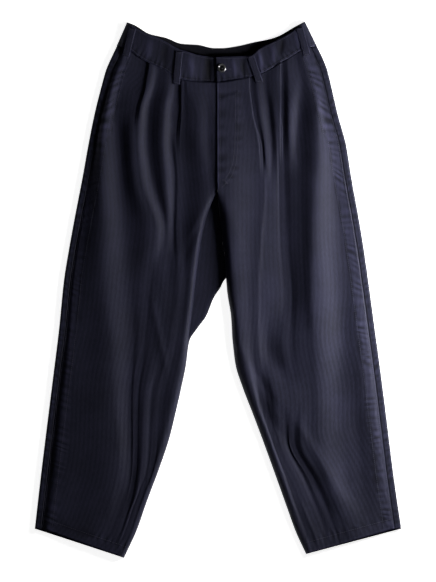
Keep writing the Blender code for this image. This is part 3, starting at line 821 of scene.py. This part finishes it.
def sewn_wall(name, grid, thickness, material, wear_and_shade):
    """A closed wall of cloth about a grid of mid points.

    Its texture coordinates are lengths of cloth. Its wear and shade value is 0 on deep new cloth and 1 on a
    worn ridge;
    below 0 it paints shade, darker, in a sewn groove or a hollow.
    """
    normals = normals_of(grid)
    rows, columns = grid.shape[:2]
    upper = (grid + normals * thickness / 2).reshape(-1, 3)
    lower = (grid - normals * thickness / 2).reshape(-1, 3)
    count = rows * columns
    index = np.arange(count).reshape(rows, columns)
    a = index[:-1, :-1].ravel()
    b = index[:-1, 1:].ravel()
    c = index[1:, 1:].ravel()
    d = index[1:, :-1].ravel()
    top = np.stack([a, b, c, d], axis=1)
    bottom = np.stack([a, d, c, b], axis=1) + count
    rim = np.concatenate([index[0, :], index[1:, -1], index[-1, -2::-1], index[-2:0:-1, 0]])
    after = np.roll(rim, -1)
    side = np.stack([after, rim, rim + count, after + count], axis=1)
    faces = np.concatenate([top, bottom, side])
    points = np.vstack([upper, lower]) * MM
    mesh = bpy.data.meshes.new(name)
    mesh.from_pydata(points.tolist(), [], faces.tolist())
    corner = points[faces[0]]
    facing = np.cross(corner[1] - corner[0], corner[2] - corner[1])
    if facing @ normals[0, 0] < 0:
        mesh.flip_normals()
    across_cloth = np.zeros((rows, columns))
    across_cloth[:, 1:] = np.cumsum(np.linalg.norm(np.diff(grid, axis=1), axis=2), axis=1)
    across_cloth -= across_cloth[:, columns // 2 : columns // 2 + 1]
    cloth_place = np.stack([across_cloth, grid[:, :, 1]], axis=2).reshape(-1, 2) * MM
    cloth_place = np.vstack([cloth_place, cloth_place])
    layer = mesh.uv_layers.new(name="cloth")
    corners = np.empty(len(mesh.loops), np.int32)
    mesh.loops.foreach_get("vertex_index", corners)
    layer.data.foreach_set("uv", cloth_place[corners].ravel())
    # This value carries the wear, and below 0 the painted shade of grooves and hollows.
    rubbed_and_shaded = mesh.attributes.new("wear_and_shade", "FLOAT", "POINT")
    rubbed_and_shaded.data.foreach_set("value", np.tile(np.clip(wear_and_shade, -1, 1).ravel(), 2).astype(np.float32))
    return finish_piece(name, mesh, material)


def finish_piece(name, mesh, material):
    """Gives a mesh its material and smooth faces and puts it in the scene."""
    mesh.materials.append(material)
    mesh.polygons.foreach_set("use_smooth", [True] * len(mesh.polygons))
    mesh.update()
    obj = bpy.data.objects.new(name, mesh)
    bpy.context.scene.collection.objects.link(obj)
    return obj


def closed_mesh(name, points, faces, join_within=0.0):
    """A closed mesh whose faces all look outward. Points that lie within this distance can be joined."""
    mesh = bpy.data.meshes.new(name)
    mesh.from_pydata(points, [], faces)
    fix = bmesh.new()
    fix.from_mesh(mesh)
    if join_within:
        bmesh.ops.remove_doubles(fix, verts=fix.verts, dist=join_within)
    bmesh.ops.recalc_face_normals(fix, faces=fix.faces)
    fix.to_mesh(mesh)
    fix.free()
    return mesh


def dress(piece, slot, *nodes):
    """Gives a piece its body, and puts it in place of these solids."""
    if nodes:
        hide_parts(*nodes)
    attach(piece, "root")
    return piece


def top_finder(objects):
    """A function that gives the highest point of these pieces at a place, and the way that it faces."""
    trees = []
    for obj in objects:
        points = np.empty(len(obj.data.vertices) * 3, np.float32)
        obj.data.vertices.foreach_get("co", points)
        points = points.reshape(-1, 3) / MM
        trees.append(BVHTree.FromPolygons(points.tolist(), [tuple(p.vertices) for p in obj.data.polygons]))

    def top(x, y):
        hits = [tree.ray_cast(Vector((x, y, ABOVE_ALL)), Vector((0, 0, -1))) for tree in trees]
        hits = [hit for hit in hits if hit[0] is not None]
        if not hits:
            return None
        best = max(hits, key=lambda hit: hit[0].z)
        return best[0], best[1]

    return top


def along_path(path, pitch):
    """Places at an even pitch along a path, with the way that the path runs at each."""
    points = [Vector(p) for p in path]
    places = []
    left = pitch / 2
    for start, end in zip(points[:-1], points[1:]):
        way = end - start
        length = way.length
        while left < length:
            places.append((start + way * (left / length), way / length))
            left += pitch
        left -= length
    return places


def stitches(name, lines, top, material, size):
    """One piece of thread stitches that lie on the cloth along each line, with their ends sunk in it."""
    length, pitch, thread = size
    sides = STITCH_SIDES
    points = []
    faces = []
    for line in lines:
        for place, way in along_path(line, pitch):
            hit = top(place.x, place.y)
            if hit is None:
                continue
            ahead = top(place.x + way.x * length / 2, place.y + way.y * length / 2) or hit
            behind = top(place.x - way.x * length / 2, place.y - way.y * length / 2) or hit
            normal = hit[1]
            run = ahead[0] - behind[0]
            if run.length > 2 * length or run.length < 0.1:
                run = Vector((way.x, way.y, 0))
            run.normalize()
            aside = run.cross(normal).normalized()
            start = len(points)
            for where, width, rise in STITCH_RINGS:
                centre = hit[0] + run * (where * length) + normal * (rise * thread)
                for k in range(sides):
                    angle = 2 * math.pi * k / sides
                    off = aside * math.cos(angle) + normal * math.sin(angle)
                    points.append(centre + off * (width * thread))
            for ring in range(len(STITCH_RINGS) - 1):
                for k in range(sides):
                    a = start + ring * sides + k
                    b = start + ring * sides + (k + 1) % sides
                    faces.append((a, a + sides, b + sides, b))
            faces.append(tuple(range(start, start + sides)))
            last = start + (len(STITCH_RINGS) - 1) * sides
            faces.append(tuple(range(last + sides - 1, last - 1, -1)))
    mesh = closed_mesh(name, [tuple(point * MM) for point in points], faces)
    return dress(finish_piece(name, mesh, material), "navy_cloth")


def front_sewing(side, x, y):
    """Ripples along the sewn lines of a front panel (the side seam, the pocket and the hem), their wear, and
    painted shade in their grooves and hollows.
    """
    beside = INWARD[side] * (x - side_seam(side, y))
    below_pocket = 1 - ease(POCKET_LOW - 6, POCKET_LOW + 6, y)
    strength = 1.0 if side == "left" else 0.75 + 0.5 * (1 - ease(-300, -60, y))
    seam = strength * below_pocket * strip_ripple(y, beside, *STRIP_RIPPLES[side])
    pocket = strip_ripple(y, beside, *STRIP_RIPPLES["pocket"]) * (1 - below_pocket)
    pocket = pocket * (1 - ease(*POCKET_TOP, y))
    hem = puckers(x, y, hem_path(side, HEM_STITCH), *HEM_PUCKERS)
    from_edge = near_path(x, y, hem_path(side, 1.0))[1]
    relief = 0.22 * seam + 0.4 * pocket + hem
    # Worn ripple ridges and hem edge, and painted shade in the ripples' hollows and the stitch grooves.
    wear_and_shade = 0.5 * seam + 0.6 * pocket + 0.5 * near(from_edge, 1.8) + 0.8 * hem
    return relief, wear_and_shade


def strip_ripple(y, beside, width, spacing, shift):
    """Uneven ripples across a sewn strip beside the side seam, with a groove at each stitch line."""
    inside = ease(-1, 2.5, beside) * (1 - ease(width - 2, width + 5, beside))
    slant = 0.35 + 0.45 * np.sin(y / 27 + shift)
    phase = 2 * np.pi * (y - slant * beside) / spacing + shift
    ripple = np.sin(phase + 1.1 * np.sin(phase * 0.31) + 0.8 * np.sin(phase * 0.13))
    broken = np.sin(y / 9 + 1.3 * shift) * np.sin(beside / 5 + y / 14)
    ripple = ripple * (0.6 + 0.3 * np.sin(phase * 0.19 + 2) + 0.5 * broken)
    bow = np.sin(np.pi * np.clip(beside / width, 0, 1)) ** 0.5
    groove = near(beside - width, 1.4) + near(beside - SEAM_STITCH, 1.2)
    return inside * (0.8 * ripple * (0.35 + 0.65 * bow) + 0.35) - 0.7 * groove


def hem_path(side, above_edge):
    """A line across a front panel at an even height above its hem."""
    inward = INWARD[side]
    inner = HEM_INNER[side] + above_edge
    outer = HEM_OUTER + above_edge
    start = (float(front_inner(side, inner)) - inward * 1.5, inner)
    return [start, (float(side_seam(side, outer)) + inward * 0.5, outer)]


def fly_sewing(x, y):
    """Ripples of the fly on the left front, at its edge and the curved stitch line, their wear, and painted
    shade in their grooves and hollows.
    """
    relief = puckers(x, y, FLY_STITCH, *FLY_PUCKERS) + puckers(x, y, FLY_EDGE, *FLY_EDGE_PUCKERS)
    rubbed_edge = near(x + 0.5, 2.2) * ease(185, 200, y)
    # Worn pucker ridges and flap edge, and painted shade in the puckers' hollows and the stitch grooves.
    return relief, 0.7 * (relief + rubbed_edge)


def hand_creases(side, x, y):
    """All the smaller creases of a panel or band."""
    total = np.zeros(x.shape)
    for path, width, height in CREASES[side]:
        total = total + crease(x, y, path, width, height)
    return total


def build_fronts(material):
    """The two front panels, each in place of its panel, hem and pocket strip."""
    pieces = {}
    for side in SIDES:
        grid = front_grid(side)
        x = grid[:, :, 0]
        y = grid[:, :, 1]
        relief, wear_and_shade = front_sewing(side, x, y)
        if side == "left":
            fly_relief, fly_wear_and_shade = fly_sewing(x, y)
            relief = relief + fly_relief
            wear_and_shade = wear_and_shade + fly_wear_and_shade
        relief = relief + hand_creases(side, x, y)
        grid = grid + normals_of(grid) * relief[:, :, None]
        piece = sewn_wall("front_panel_" + side, grid, CLOTH, material, wear_and_shade)
        nodes = ("front_" + side, "hem_front_" + side, "pocket_" + side)
        pieces[side] = dress(piece, "navy_cloth", *nodes)
    return pieces


def build_backs(material):
    """The two back panels, rippled where they show beside the side seam and creased underneath."""
    pieces = {}
    for side in SIDES:
        grid = back_grid(side)
        x = grid[:, :, 0]
        y = grid[:, :, 1]
        beside = -INWARD[side] * (x - side_seam(side, y))
        on_top = ease(SIDE_TOP - 2.5, SIDE_TOP - 0.5, grid[:, :, 2])
        ripple = strip_ripple(y, beside, *STRIP_RIPPLES["back"])
        underneath = grid[:, :, 2] < CLOTH
        relief = 0.3 * on_top * ripple + underneath * hand_creases("back_" + side, x, y)
        grid = grid + normals_of(grid) * relief[:, :, None]
        # Worn ripple ridges, and painted shade in the ripples' hollows and the stitch grooves; the whole
        # strip is a little darker.
        wear_and_shade = on_top * (0.45 * ripple - 0.12)
        piece = sewn_wall("back_panel_" + side, grid, CLOTH, material, wear_and_shade)
        pieces[side] = dress(piece, "navy_cloth", "back_" + side, "hem_back_" + side)
    return pieces


def band_grid(top_line, bottom, start, end, height, columns):
    """Rows of mid points of a waistband, from its top line to its lower line.

    Its start and its end each give the place across at the top line and at the lower line.
    """
    t = np.linspace(0, 1, columns)
    share = np.linspace(0, 1, BAND_ROWS)[:, None]
    x_top = start[0] + (end[0] - start[0]) * t
    x_low = start[1] + (end[1] - start[1]) * t
    y_top = table_line(top_line, 1, x_top)
    y_low = bottom(x_low)
    x = x_top + (x_low - x_top) * share
    y = y_top + (y_low - y_top) * share
    z = height(x, np.broadcast_to(t, x.shape))
    return np.stack([x, y, z], axis=2)


def right_band_height(x, t):
    """The right half passes under the left half at the centre and rolls down at the side."""
    level = 8.2 + 2.4 * ease(-12, -60, x)
    return BAND_FOOT + (level - BAND_FOOT) * np.sin(np.pi / 2 * np.minimum(t / BAND_ROLL, 1))


def left_band_height(x, t):
    """The left half lies over the right half at the centre and rolls down at the side."""
    level = 11.4 - 0.6 * ease(20, 90, x)
    return BAND_FOOT + (level - BAND_FOOT) * np.sin(np.pi / 2 * np.minimum((1 - t) / BAND_ROLL, 1))


def back_seam(x):
    """The waist seam of the back panels."""
    shares = []
    for side in SIDES:
        inner = back_inner(side, BACK_TOP)
        shares.append((x - inner) / (outer_edge(side, SIDE_TOP_ALONG) - inner))
    t = np.clip(np.where(x < 0, shares[0], shares[1]), 0, 1)
    return BACK_TOP + (SIDE_TOP_ALONG - BACK_TOP) * t


def build_bands(material, inside_material):
    """The two front halves of the waistband, and its back half, whose inside shows."""

    def front_line(x):
        return top_seam(x) + BAND_SEAM_GAP - SIDE_LAP * ease(168, 178, np.abs(x))

    def back_line(x):
        return back_seam(x) + BAND_SEAM_GAP

    def flat(x, t):
        return np.full_like(x, DOUBLE_CLOTH / 2)

    right = band_grid(RIGHT_BAND_TOP, front_line, (-168, -187), (30, 30), right_band_height, 170)
    left = band_grid(LEFT_BAND_TOP, front_line, (-4, -2), (160, 182), left_band_height, 150)
    back = band_grid(BACK_BAND_TOP, back_line, (-168, -187), (160, 182), flat, 120)
    pieces = {}
    for side, grid, ends in (("right", right, (-186, -2)), ("left", left, (0, 181))):
        x = grid[:, :, 0]
        y = grid[:, :, 1]
        low = [(a, float(top_seam(a)) + BAND_STITCH) for a in np.linspace(*ends, 16)]
        ripple = puckers(x, y, low, *BAND_PUCKERS) + hand_creases(side + "_band", x, y)
        share = np.linspace(0, 1, grid.shape[0])[:, None]
        # Worn ridges and band edges, and painted shade in the puckers' hollows, the stitch groove and the
        # creases' troughs.
        wear_and_shade = 0.8 * ripple + 0.5 * ease(0.06, 0.0, share) + 0.25 * ease(0.9, 1.0, share)
        grid = grid + normals_of(grid) * ripple[:, :, None]
        piece = sewn_wall("waistband_front_" + side, grid, DOUBLE_CLOTH, material, wear_and_shade)
        pieces[side] = dress(piece, "navy_cloth", "waistband_" + side)
    unworn = np.zeros(back.shape[:2])
    piece = sewn_wall("waistband_inside", back, DOUBLE_CLOTH, inside_material, unworn)
    pieces["back"] = dress(piece, "navy_cloth_inside", "waistband_back")
    return pieces


def socket_group(name, inputs, outputs):
    """A node group with these named float inputs and outputs."""
    group = bpy.data.node_groups.new(name, "ShaderNodeTree")
    for label, value in inputs.items():
        socket = group.interface.new_socket(label, in_out="INPUT", socket_type="NodeSocketFloat")
        socket.default_value = value
    for label in outputs:
        group.interface.new_socket(label, in_out="OUTPUT", socket_type="NodeSocketFloat")
    return group, group.nodes.new("NodeGroupInput"), group.nodes.new("NodeGroupOutput")


def math_node(tree, operation, first, second=0.5, third=0.5, clamp=False):
    """The result of a math node on sockets or plain numbers."""
    node = tree.nodes.new("ShaderNodeMath")
    node.operation = operation
    node.use_clamp = clamp
    for socket, value in zip(node.inputs, (first, second, third)):
        if isinstance(value, (int, float)):
            socket.default_value = value
        else:
            tree.links.new(value, socket)
    return node.outputs[0]


def noise_node(tree, place, detail):
    """A noise texture at this place."""
    node = tree.nodes.new("ShaderNodeTexNoise")
    node.inputs["Detail"].default_value = detail
    tree.links.new(place, node.inputs["Vector"])
    return node


def blend_node(tree, share, first, second):
    """A colour between two others, each a socket or plain red, green and blue."""
    node = tree.nodes.new("ShaderNodeMix")
    node.data_type = "RGBA"
    tree.links.new(share, node.inputs["Factor"])
    for label, colour in (("A", first), ("B", second)):
        if isinstance(colour, tuple):
            node.inputs[label].default_value = (*colour, 1)
        else:
            tree.links.new(colour, node.inputs[label])
    return node.outputs["Result"]


def new_material(name):
    """A material, its node tree and its shader."""
    material = bpy.data.materials.new(name)
    material.use_nodes = True
    return material, material.node_tree, material.node_tree.nodes["Principled BSDF"]


def group_node(tree, group):
    """A shared effect, placed in a material."""
    node = tree.nodes.new("ShaderNodeGroup")
    node.node_tree = group
    return node


def herringbone_group():
    """Herringbone twill from the lengths of cloth: slanting yarns whose slant turns at each stripe."""
    inputs = {"Stripe Width": STRIPE_WIDTH, "Yarn Pitch": YARN_PITCH}
    group, given, result = socket_group("herringbone_twill", inputs, ("Yarn Height", "Stripe Tone"))
    cloth_place = group.nodes.new("ShaderNodeUVMap")
    cloth_place.uv_map = "cloth"
    split = group.nodes.new("ShaderNodeSeparateXYZ")
    group.links.new(cloth_place.outputs[0], split.inputs[0])
    zigzag = math_node(group, "PINGPONG", split.outputs["X"], given.outputs["Stripe Width"])
    slant = math_node(group, "ADD", split.outputs["Y"], zigzag)
    turns = math_node(group, "DIVIDE", slant, given.outputs["Yarn Pitch"])
    wave = math_node(group, "SINE", math_node(group, "MULTIPLY", turns, 2 * math.pi))
    height = math_node(group, "MULTIPLY_ADD", wave, 0.5, 0.5)
    group.links.new(height, result.inputs["Yarn Height"])
    across = math_node(group, "DIVIDE", split.outputs["X"], given.outputs["Stripe Width"])
    tone = math_node(group, "SINE", math_node(group, "MULTIPLY", across, math.pi))
    tone = math_node(group, "ADD", math_node(group, "MULTIPLY", tone, 0.9), 0.5, clamp=True)
    group.links.new(tone, result.inputs["Stripe Tone"])
    return group


def fading_group():
    """Uneven fading of washed cloth: wide soft patches, fine streaks, and the wear along ridges, with
    painted shade in the grooves and hollows.
    """
    inputs = {"Patch Size": CLOTH_PATCH}
    group, given, result = socket_group("washed_fading", inputs, ("Patches", "Wear And Shade", "Streaks"))
    place = group.nodes.new("ShaderNodeTexCoord")
    patches = noise_node(group, place.outputs["Object"], 4.0)
    patch_scale = math_node(group, "DIVIDE", 1.0, given.outputs["Patch Size"])
    group.links.new(patch_scale, patches.inputs["Scale"])
    group.links.new(patches.outputs[0], result.inputs["Patches"])
    stretch = group.nodes.new("ShaderNodeMapping")
    stretch.inputs["Scale"].default_value = STREAK_SCALE
    group.links.new(place.outputs["Object"], stretch.inputs["Vector"])
    streaks = noise_node(group, stretch.outputs[0], 3.0)
    streaks.inputs["Scale"].default_value = 1.0
    group.links.new(streaks.outputs[0], result.inputs["Streaks"])
    # Reads the wear value, which below 0 is painted shade.
    rubbed_and_shaded = group.nodes.new("ShaderNodeAttribute")
    rubbed_and_shaded.attribute_name = "wear_and_shade"
    group.links.new(rubbed_and_shaded.outputs["Fac"], result.inputs["Wear And Shade"])
    return group


def cloth_material(name, colour, faded, groove, roughness):
    """Herringbone cloth that goes from its deep colour to its faded one, with painted shade: darker in the
    sewn grooves and hollows.
    """
    material, tree, shader = new_material(name)
    weave = group_node(tree, HERRINGBONE)
    fading = group_node(tree, FADING)
    tone = math_node(tree, "MULTIPLY", weave.outputs["Stripe Tone"], STRIPE_STRENGTH)
    patches = math_node(tree, "SUBTRACT", fading.outputs["Patches"], PATCH_LEVEL)
    patches = math_node(tree, "MULTIPLY", patches, PATCH_STRENGTH)
    streaks = math_node(tree, "SUBTRACT", fading.outputs["Streaks"], 0.5)
    streaks = math_node(tree, "MULTIPLY", streaks, STREAK_STRENGTH)
    fade_and_shade = math_node(tree, "ADD", math_node(tree, "ADD", tone, patches), streaks)
    # The wear and shade value lightens worn places and, below 0, darkens grooves and hollows as painted
    # shade.
    wear_and_shade = math_node(tree, "MULTIPLY", fading.outputs["Wear And Shade"], WEAR_AND_SHADE_STRENGTH)
    fade_and_shade = math_node(tree, "ADD", fade_and_shade, wear_and_shade, clamp=True)
    # Painted shade: below 0 the value blends the cloth towards its groove colour.
    sunk = math_node(tree, "MULTIPLY", fading.outputs["Wear And Shade"], -GROOVE_SHADE_STRENGTH, clamp=True)
    cloth_colour = blend_node(tree, sunk, blend_node(tree, fade_and_shade, colour, faded), groove)
    tree.links.new(cloth_colour, shader.inputs["Base Color"])
    low = roughness - ROUGHNESS_SPREAD / 2
    rough = math_node(tree, "MULTIPLY_ADD", fading.outputs["Patches"], ROUGHNESS_SPREAD, low)
    tree.links.new(rough, shader.inputs["Roughness"])
    bump = tree.nodes.new("ShaderNodeBump")
    bump.inputs["Strength"].default_value = BUMP_STRENGTH
    bump.inputs["Distance"].default_value = YARN_RELIEF
    relief = math_node(tree, "ADD", weave.outputs["Yarn Height"], fading.outputs["Streaks"])
    tree.links.new(relief, bump.inputs["Height"])
    tree.links.new(bump.outputs[0], shader.inputs["Normal"])
    shader.inputs["Specular IOR Level"].default_value = 0.12
    shader.inputs["Sheen Weight"].default_value = 0.05
    shader.inputs["Sheen Roughness"].default_value = 0.4
    shader.inputs["Sheen Tint"].default_value = (0.6, 0.6, 0.9, 1)
    return material


def metal_material(name, colour, worn, roughness):
    """Button metal with fine scratches and darker worn places."""
    material, tree, shader = new_material(name)
    fading = group_node(tree, FADING)
    fading.inputs["Patch Size"].default_value = METAL_PATCH
    metal_colour = blend_node(tree, fading.outputs["Patches"], colour, worn)
    tree.links.new(metal_colour, shader.inputs["Base Color"])
    rough = math_node(tree, "MULTIPLY_ADD", fading.outputs["Streaks"], SCRATCH_STRENGTH, roughness)
    tree.links.new(rough, shader.inputs["Roughness"])
    shader.inputs["Metallic"].default_value = 1.0
    return material


def turned_piece(name, profile, low, material, slot, node):
    """A round part of the button, turned from a profile of radius and height above its foot."""
    points = []
    count = len(profile)
    for k in range(TURN_SEGMENTS):
        angle = 2 * math.pi * k / TURN_SEGMENTS
        for radius, height in profile:
            x = BUTTON_PLACE[0] + radius * math.cos(angle)
            y = BUTTON_PLACE[1] + radius * math.sin(angle)
            points.append((x * MM, y * MM, (low + height) * MM))
    faces = []
    for k in range(TURN_SEGMENTS):
        for i in range(count):
            a = k * count + i
            b = k * count + (i + 1) % count
            c = (k + 1) % TURN_SEGMENTS * count + (i + 1) % count
            d = (k + 1) % TURN_SEGMENTS * count + i
            faces.append((a, d, c, b))
    mesh = closed_mesh(name, points, faces, AXIS_JOIN)
    return dress(finish_piece(name, mesh, material), slot, node)


def build_button(bright, dark):
    """The button's bright rim, and its centre with a small boss, near black as painted shade in the button's
    open middle.
    """
    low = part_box("button_rim")[0][2] / MM
    turned_piece("button_rim_bright", RIM_PROFILE, low, bright, "button_metal", "button_rim")
    turned_piece("button_centre_dark", CENTRE_PROFILE, low, dark, "button_dark", "button_centre")


def build_loops(material):
    """Belt loops: folded strips that bridge from the band to the panel, with stitched and rubbed edges and
    painted shade along the stitch lines.
    """
    pieces = {}
    along = np.linspace(0, 1, LOOP_ROWS)
    share = np.linspace(-1, 1, LOOP_COLUMNS)
    for name, (top, bottom) in LOOPS.items():
        low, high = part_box(name)
        way = np.array(bottom, float) - np.array(top, float)
        aside = np.array([-way[1], way[0]]) / np.linalg.norm(way)
        middle = (low[2] + high[2]) / 2 / MM
        slack = 0.5 * np.sin(np.pi * along) + 0.15 * np.sin(7 * along + len(name))
        grid = np.zeros((LOOP_ROWS, LOOP_COLUMNS, 3))
        for axis in (0, 1):
            centre = top[axis] + way[axis] * along[:, None]
            grid[:, :, axis] = centre + aside[axis] * LOOP_WIDTH / 2 * share[None, :]
        body = loop_heights(name, top, way, along)
        from_stitches = np.abs(share) - LOOP_STITCH_SHARE
        groove = 0.25 * near(from_stitches, 0.12)
        grid[:, :, 2] = np.minimum((body + slack)[:, None] - groove[None, :], middle + LOOP_RISE)
        rubbed_and_shaded = ease(0.75, 1.0, np.abs(share))[None, :] * (0.9 + 0.1 * np.sin(17 * along))[:, None]
        # Painted shade: the value drops along the stitch grooves.
        rubbed_and_shaded = rubbed_and_shaded - 0.6 * near(from_stitches, 0.1)[None, :]
        piece = sewn_wall(name + "_strip", grid, LOOP_CLOTH, material, rubbed_and_shaded)
        pieces[name] = dress(piece, "navy_cloth", name)
    return pieces


def loop_heights(name, top, way, along):
    """Mid height of a belt loop down its length, from its own solid."""
    finder = top_finder([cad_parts[name]])
    heights = []
    for share in along:
        x = top[0] + way[0] * min(max(share, 0.02), 0.98)
        y = top[1] + way[1] * min(max(share, 0.02), 0.98)
        hit = finder(x, y)
        heights.append(hit[0].z - LOOP_CLOTH / 2 if hit else heights[-1])
    return np.array(heights)


def build_floor():
    """A plain white floor that gives off a little light, so that it stays white beside the dark cloth."""
    bpy.ops.mesh.primitive_plane_add(size=FLOOR_SIZE)
    floor = bpy.context.active_object
    floor.name = "floor"
    floor.location.z = FLOOR_LEVEL
    material, _, shader = new_material("white_floor")
    shader.inputs["Base Color"].default_value = (0.9, 0.9, 0.9, 1)
    shader.inputs["Roughness"].default_value = 0.9
    shader.inputs["Emission Color"].default_value = (1, 1, 1, 1)
    shader.inputs["Emission Strength"].default_value = 0.9
    floor.data.materials.append(material)


def area_light(name, place, target, size, power):
    """A rectangular light that faces its target."""
    data = bpy.data.lights.new(name, "AREA")
    data.shape = "RECTANGLE"
    data.size, data.size_y = size
    data.energy = power
    light = bpy.data.objects.new(name, data)
    bpy.context.scene.collection.objects.link(light)
    light.location = place
    light.rotation_euler = (Vector(target) - light.location).to_track_quat("-Z", "Y").to_euler()


def build_light():
    """A long low light from the wearer's left, as in the photograph, and a little light from all round."""
    for name, light in LIGHTS.items():
        area_light(name, *light)
    world = bpy.data.worlds.new("studio")
    bpy.context.scene.world = world
    world.use_nodes = True
    background = world.node_tree.nodes["Background"]
    background.inputs["Color"].default_value = (1, 1, 1, 1)
    background.inputs["Strength"].default_value = WORLD_STRENGTH
    bpy.context.scene.view_settings.view_transform = "Standard"


def build_camera():
    """The photograph's view, straight down."""
    data = bpy.data.cameras.new("photo_view")
    data.type = "ORTHO"
    data.ortho_scale = PHOTO_HEIGHT * MM_PER_PIXEL * MM
    camera = bpy.data.objects.new("photo_view", data)
    bpy.context.scene.collection.objects.link(camera)
    camera.location = (0, VIEW_CENTRE_ALONG * MM, CAMERA_HEIGHT)
    bpy.context.scene.camera = camera


def write_sizes():
    """Brings the view layer up to date."""
    bpy.context.view_layer.update()


def seam_lines(side):
    """Stitch lines of a front panel: both sides of the seam strip, the pocket and the hem."""
    inward = INWARD[side]
    lines = []
    for beside in (SEAM_STITCH, SEAM_STRIP):
        alongs = np.linspace(*SEAM_SEWN, SEAM_POINTS)
        lines.append([(float(side_seam(side, a)) + inward * beside, float(a)) for a in alongs])
    for beside in (POCKET_STRIP - POCKET_LINES_APART, POCKET_STRIP):
        alongs = np.linspace(*POCKET_SEWN, POCKET_POINTS)
        lines.append([(float(side_seam(side, a)) + inward * beside, float(a)) for a in alongs])
    lines.append(hem_path(side, HEM_STITCH))
    return lines


def bar_tack(start, end):
    """A short close zigzag of thread."""
    start = np.array(start, float)
    end = np.array(end, float)
    way = end - start
    aside = np.array([-way[1], way[0]]) / np.linalg.norm(way)
    points = []
    for i in range(TACK_TURNS + 1):
        off = TACK_HALF_WIDTH if i % 2 else -TACK_HALF_WIDTH
        points.append(tuple(start + way * i / TACK_TURNS + aside * off))
    return points


def loop_sewing():
    """Bar tacks at both ends of each belt loop, and the stitch lines along its edges."""
    tacks = []
    edges = []
    for ends in LOOPS.values():
        high, low = (np.array(end, float) for end in ends)
        unit = (low - high) / np.linalg.norm(low - high)
        aside = np.array([-unit[1], unit[0]])
        for centre in (high + unit * LOOP_TACK_INSET, low - unit * LOOP_TACK_INSET):
            tacks.append(bar_tack(centre - aside * LOOP_TACK, centre + aside * LOOP_TACK))
        for off in (-LOOP_LINE, LOOP_LINE):
            first = high + unit * LOOP_LINE_INSET + aside * off
            last = low - unit * LOOP_LINE_INSET + aside * off
            edges.append([tuple(first), tuple(last)])
    return tacks, edges


def buttonhole_sewing():
    """Short stitches across the edge of the buttonhole, all round it."""
    lines = []
    for i in range(BUTTONHOLE_STITCHES):
        turn = 2 * math.pi * i / BUTTONHOLE_STITCHES
        off = BUTTONHOLE_SIZE[0] * math.cos(turn)
        x = BUTTONHOLE[0] + off
        y = BUTTONHOLE[1] + BUTTONHOLE_SIZE[1] * math.sin(turn) - BUTTONHOLE_SLANT * off
        lines.append([(x, y - BUTTONHOLE_STITCH), (x, y + BUTTONHOLE_STITCH)])
    return lines


def build_stitching(material, fronts, bands, loops):
    """All the visible thread, on the pieces as they lie."""
    pieces = {}
    band_tops = {"right": RIGHT_BAND_TOP, "left": LEFT_BAND_TOP}
    for side in SIDES:
        lines = seam_lines(side)
        if side == "left":
            second_line = [(x + FLY_SECOND[0], y + FLY_SECOND[1]) for x, y in FLY_STITCH[:-1]]
            lines += [FLY_STITCH, second_line, FLY_EDGE]
        top = top_finder([fronts[side]])
        pieces[side] = stitches("stitching_front_" + side, lines, top, material, SEAM_THREAD)
        low_ends, high_ends = BAND_LINES[side]
        xs = np.linspace(*low_ends, BAND_POINTS)
        low = [(float(x), float(top_seam(x)) + BAND_LOW_LINE) for x in xs]
        xs = np.linspace(*high_ends, BAND_POINTS)
        high = [(float(x), float(table_line(band_tops[side], 1, x)) - BAND_TOP_LINE) for x in xs]
        top = top_finder([bands[side]])
        name = "stitching_band_" + side
        pieces[side + "_band"] = stitches(name, [low, high], top, material, SEAM_THREAD)
    tacks, edges = loop_sewing()
    top = top_finder(list(loops.values()))
    stitches("stitching_loops", edges, top, material, LOOP_THREAD)
    stitches("bar_tacks_loops", tacks, top, material, LOOP_TACK_THREAD)
    panel_tacks = [bar_tack(*ends) for ends in PANEL_TACKS]
    top = top_finder(list(fronts.values()))
    stitches("bar_tacks_pockets_and_fly", panel_tacks, top, material, PANEL_TACK_THREAD)
    top = top_finder([bands["left"]])
    stitches("buttonhole_stitching", buttonhole_sewing(), top, material, BUTTONHOLE_THREAD)
    return pieces


HERRINGBONE = herringbone_group()
FADING = fading_group()
navy = cloth_material("navy_herringbone", *NAVY, 0.62)
navy_inside = cloth_material("navy_inside", *NAVY_INSIDE, 0.8)
thread = cloth_material("navy_thread", *NAVY_THREAD, 0.5)
bright_metal = metal_material("button_rim_metal", *RIM_METAL, 0.2)
dark_metal = metal_material("button_centre_metal", *CENTRE_METAL, 0.35)
build_camera()
build_light()
build_floor()
front_pieces = build_fronts(navy)
back_pieces = build_backs(navy)
band_pieces = build_bands(navy, navy_inside)
loop_pieces = build_loops(navy)
build_button(bright_metal, dark_metal)
sewing_pieces = build_stitching(thread, front_pieces, band_pieces, loop_pieces)
write_sizes()
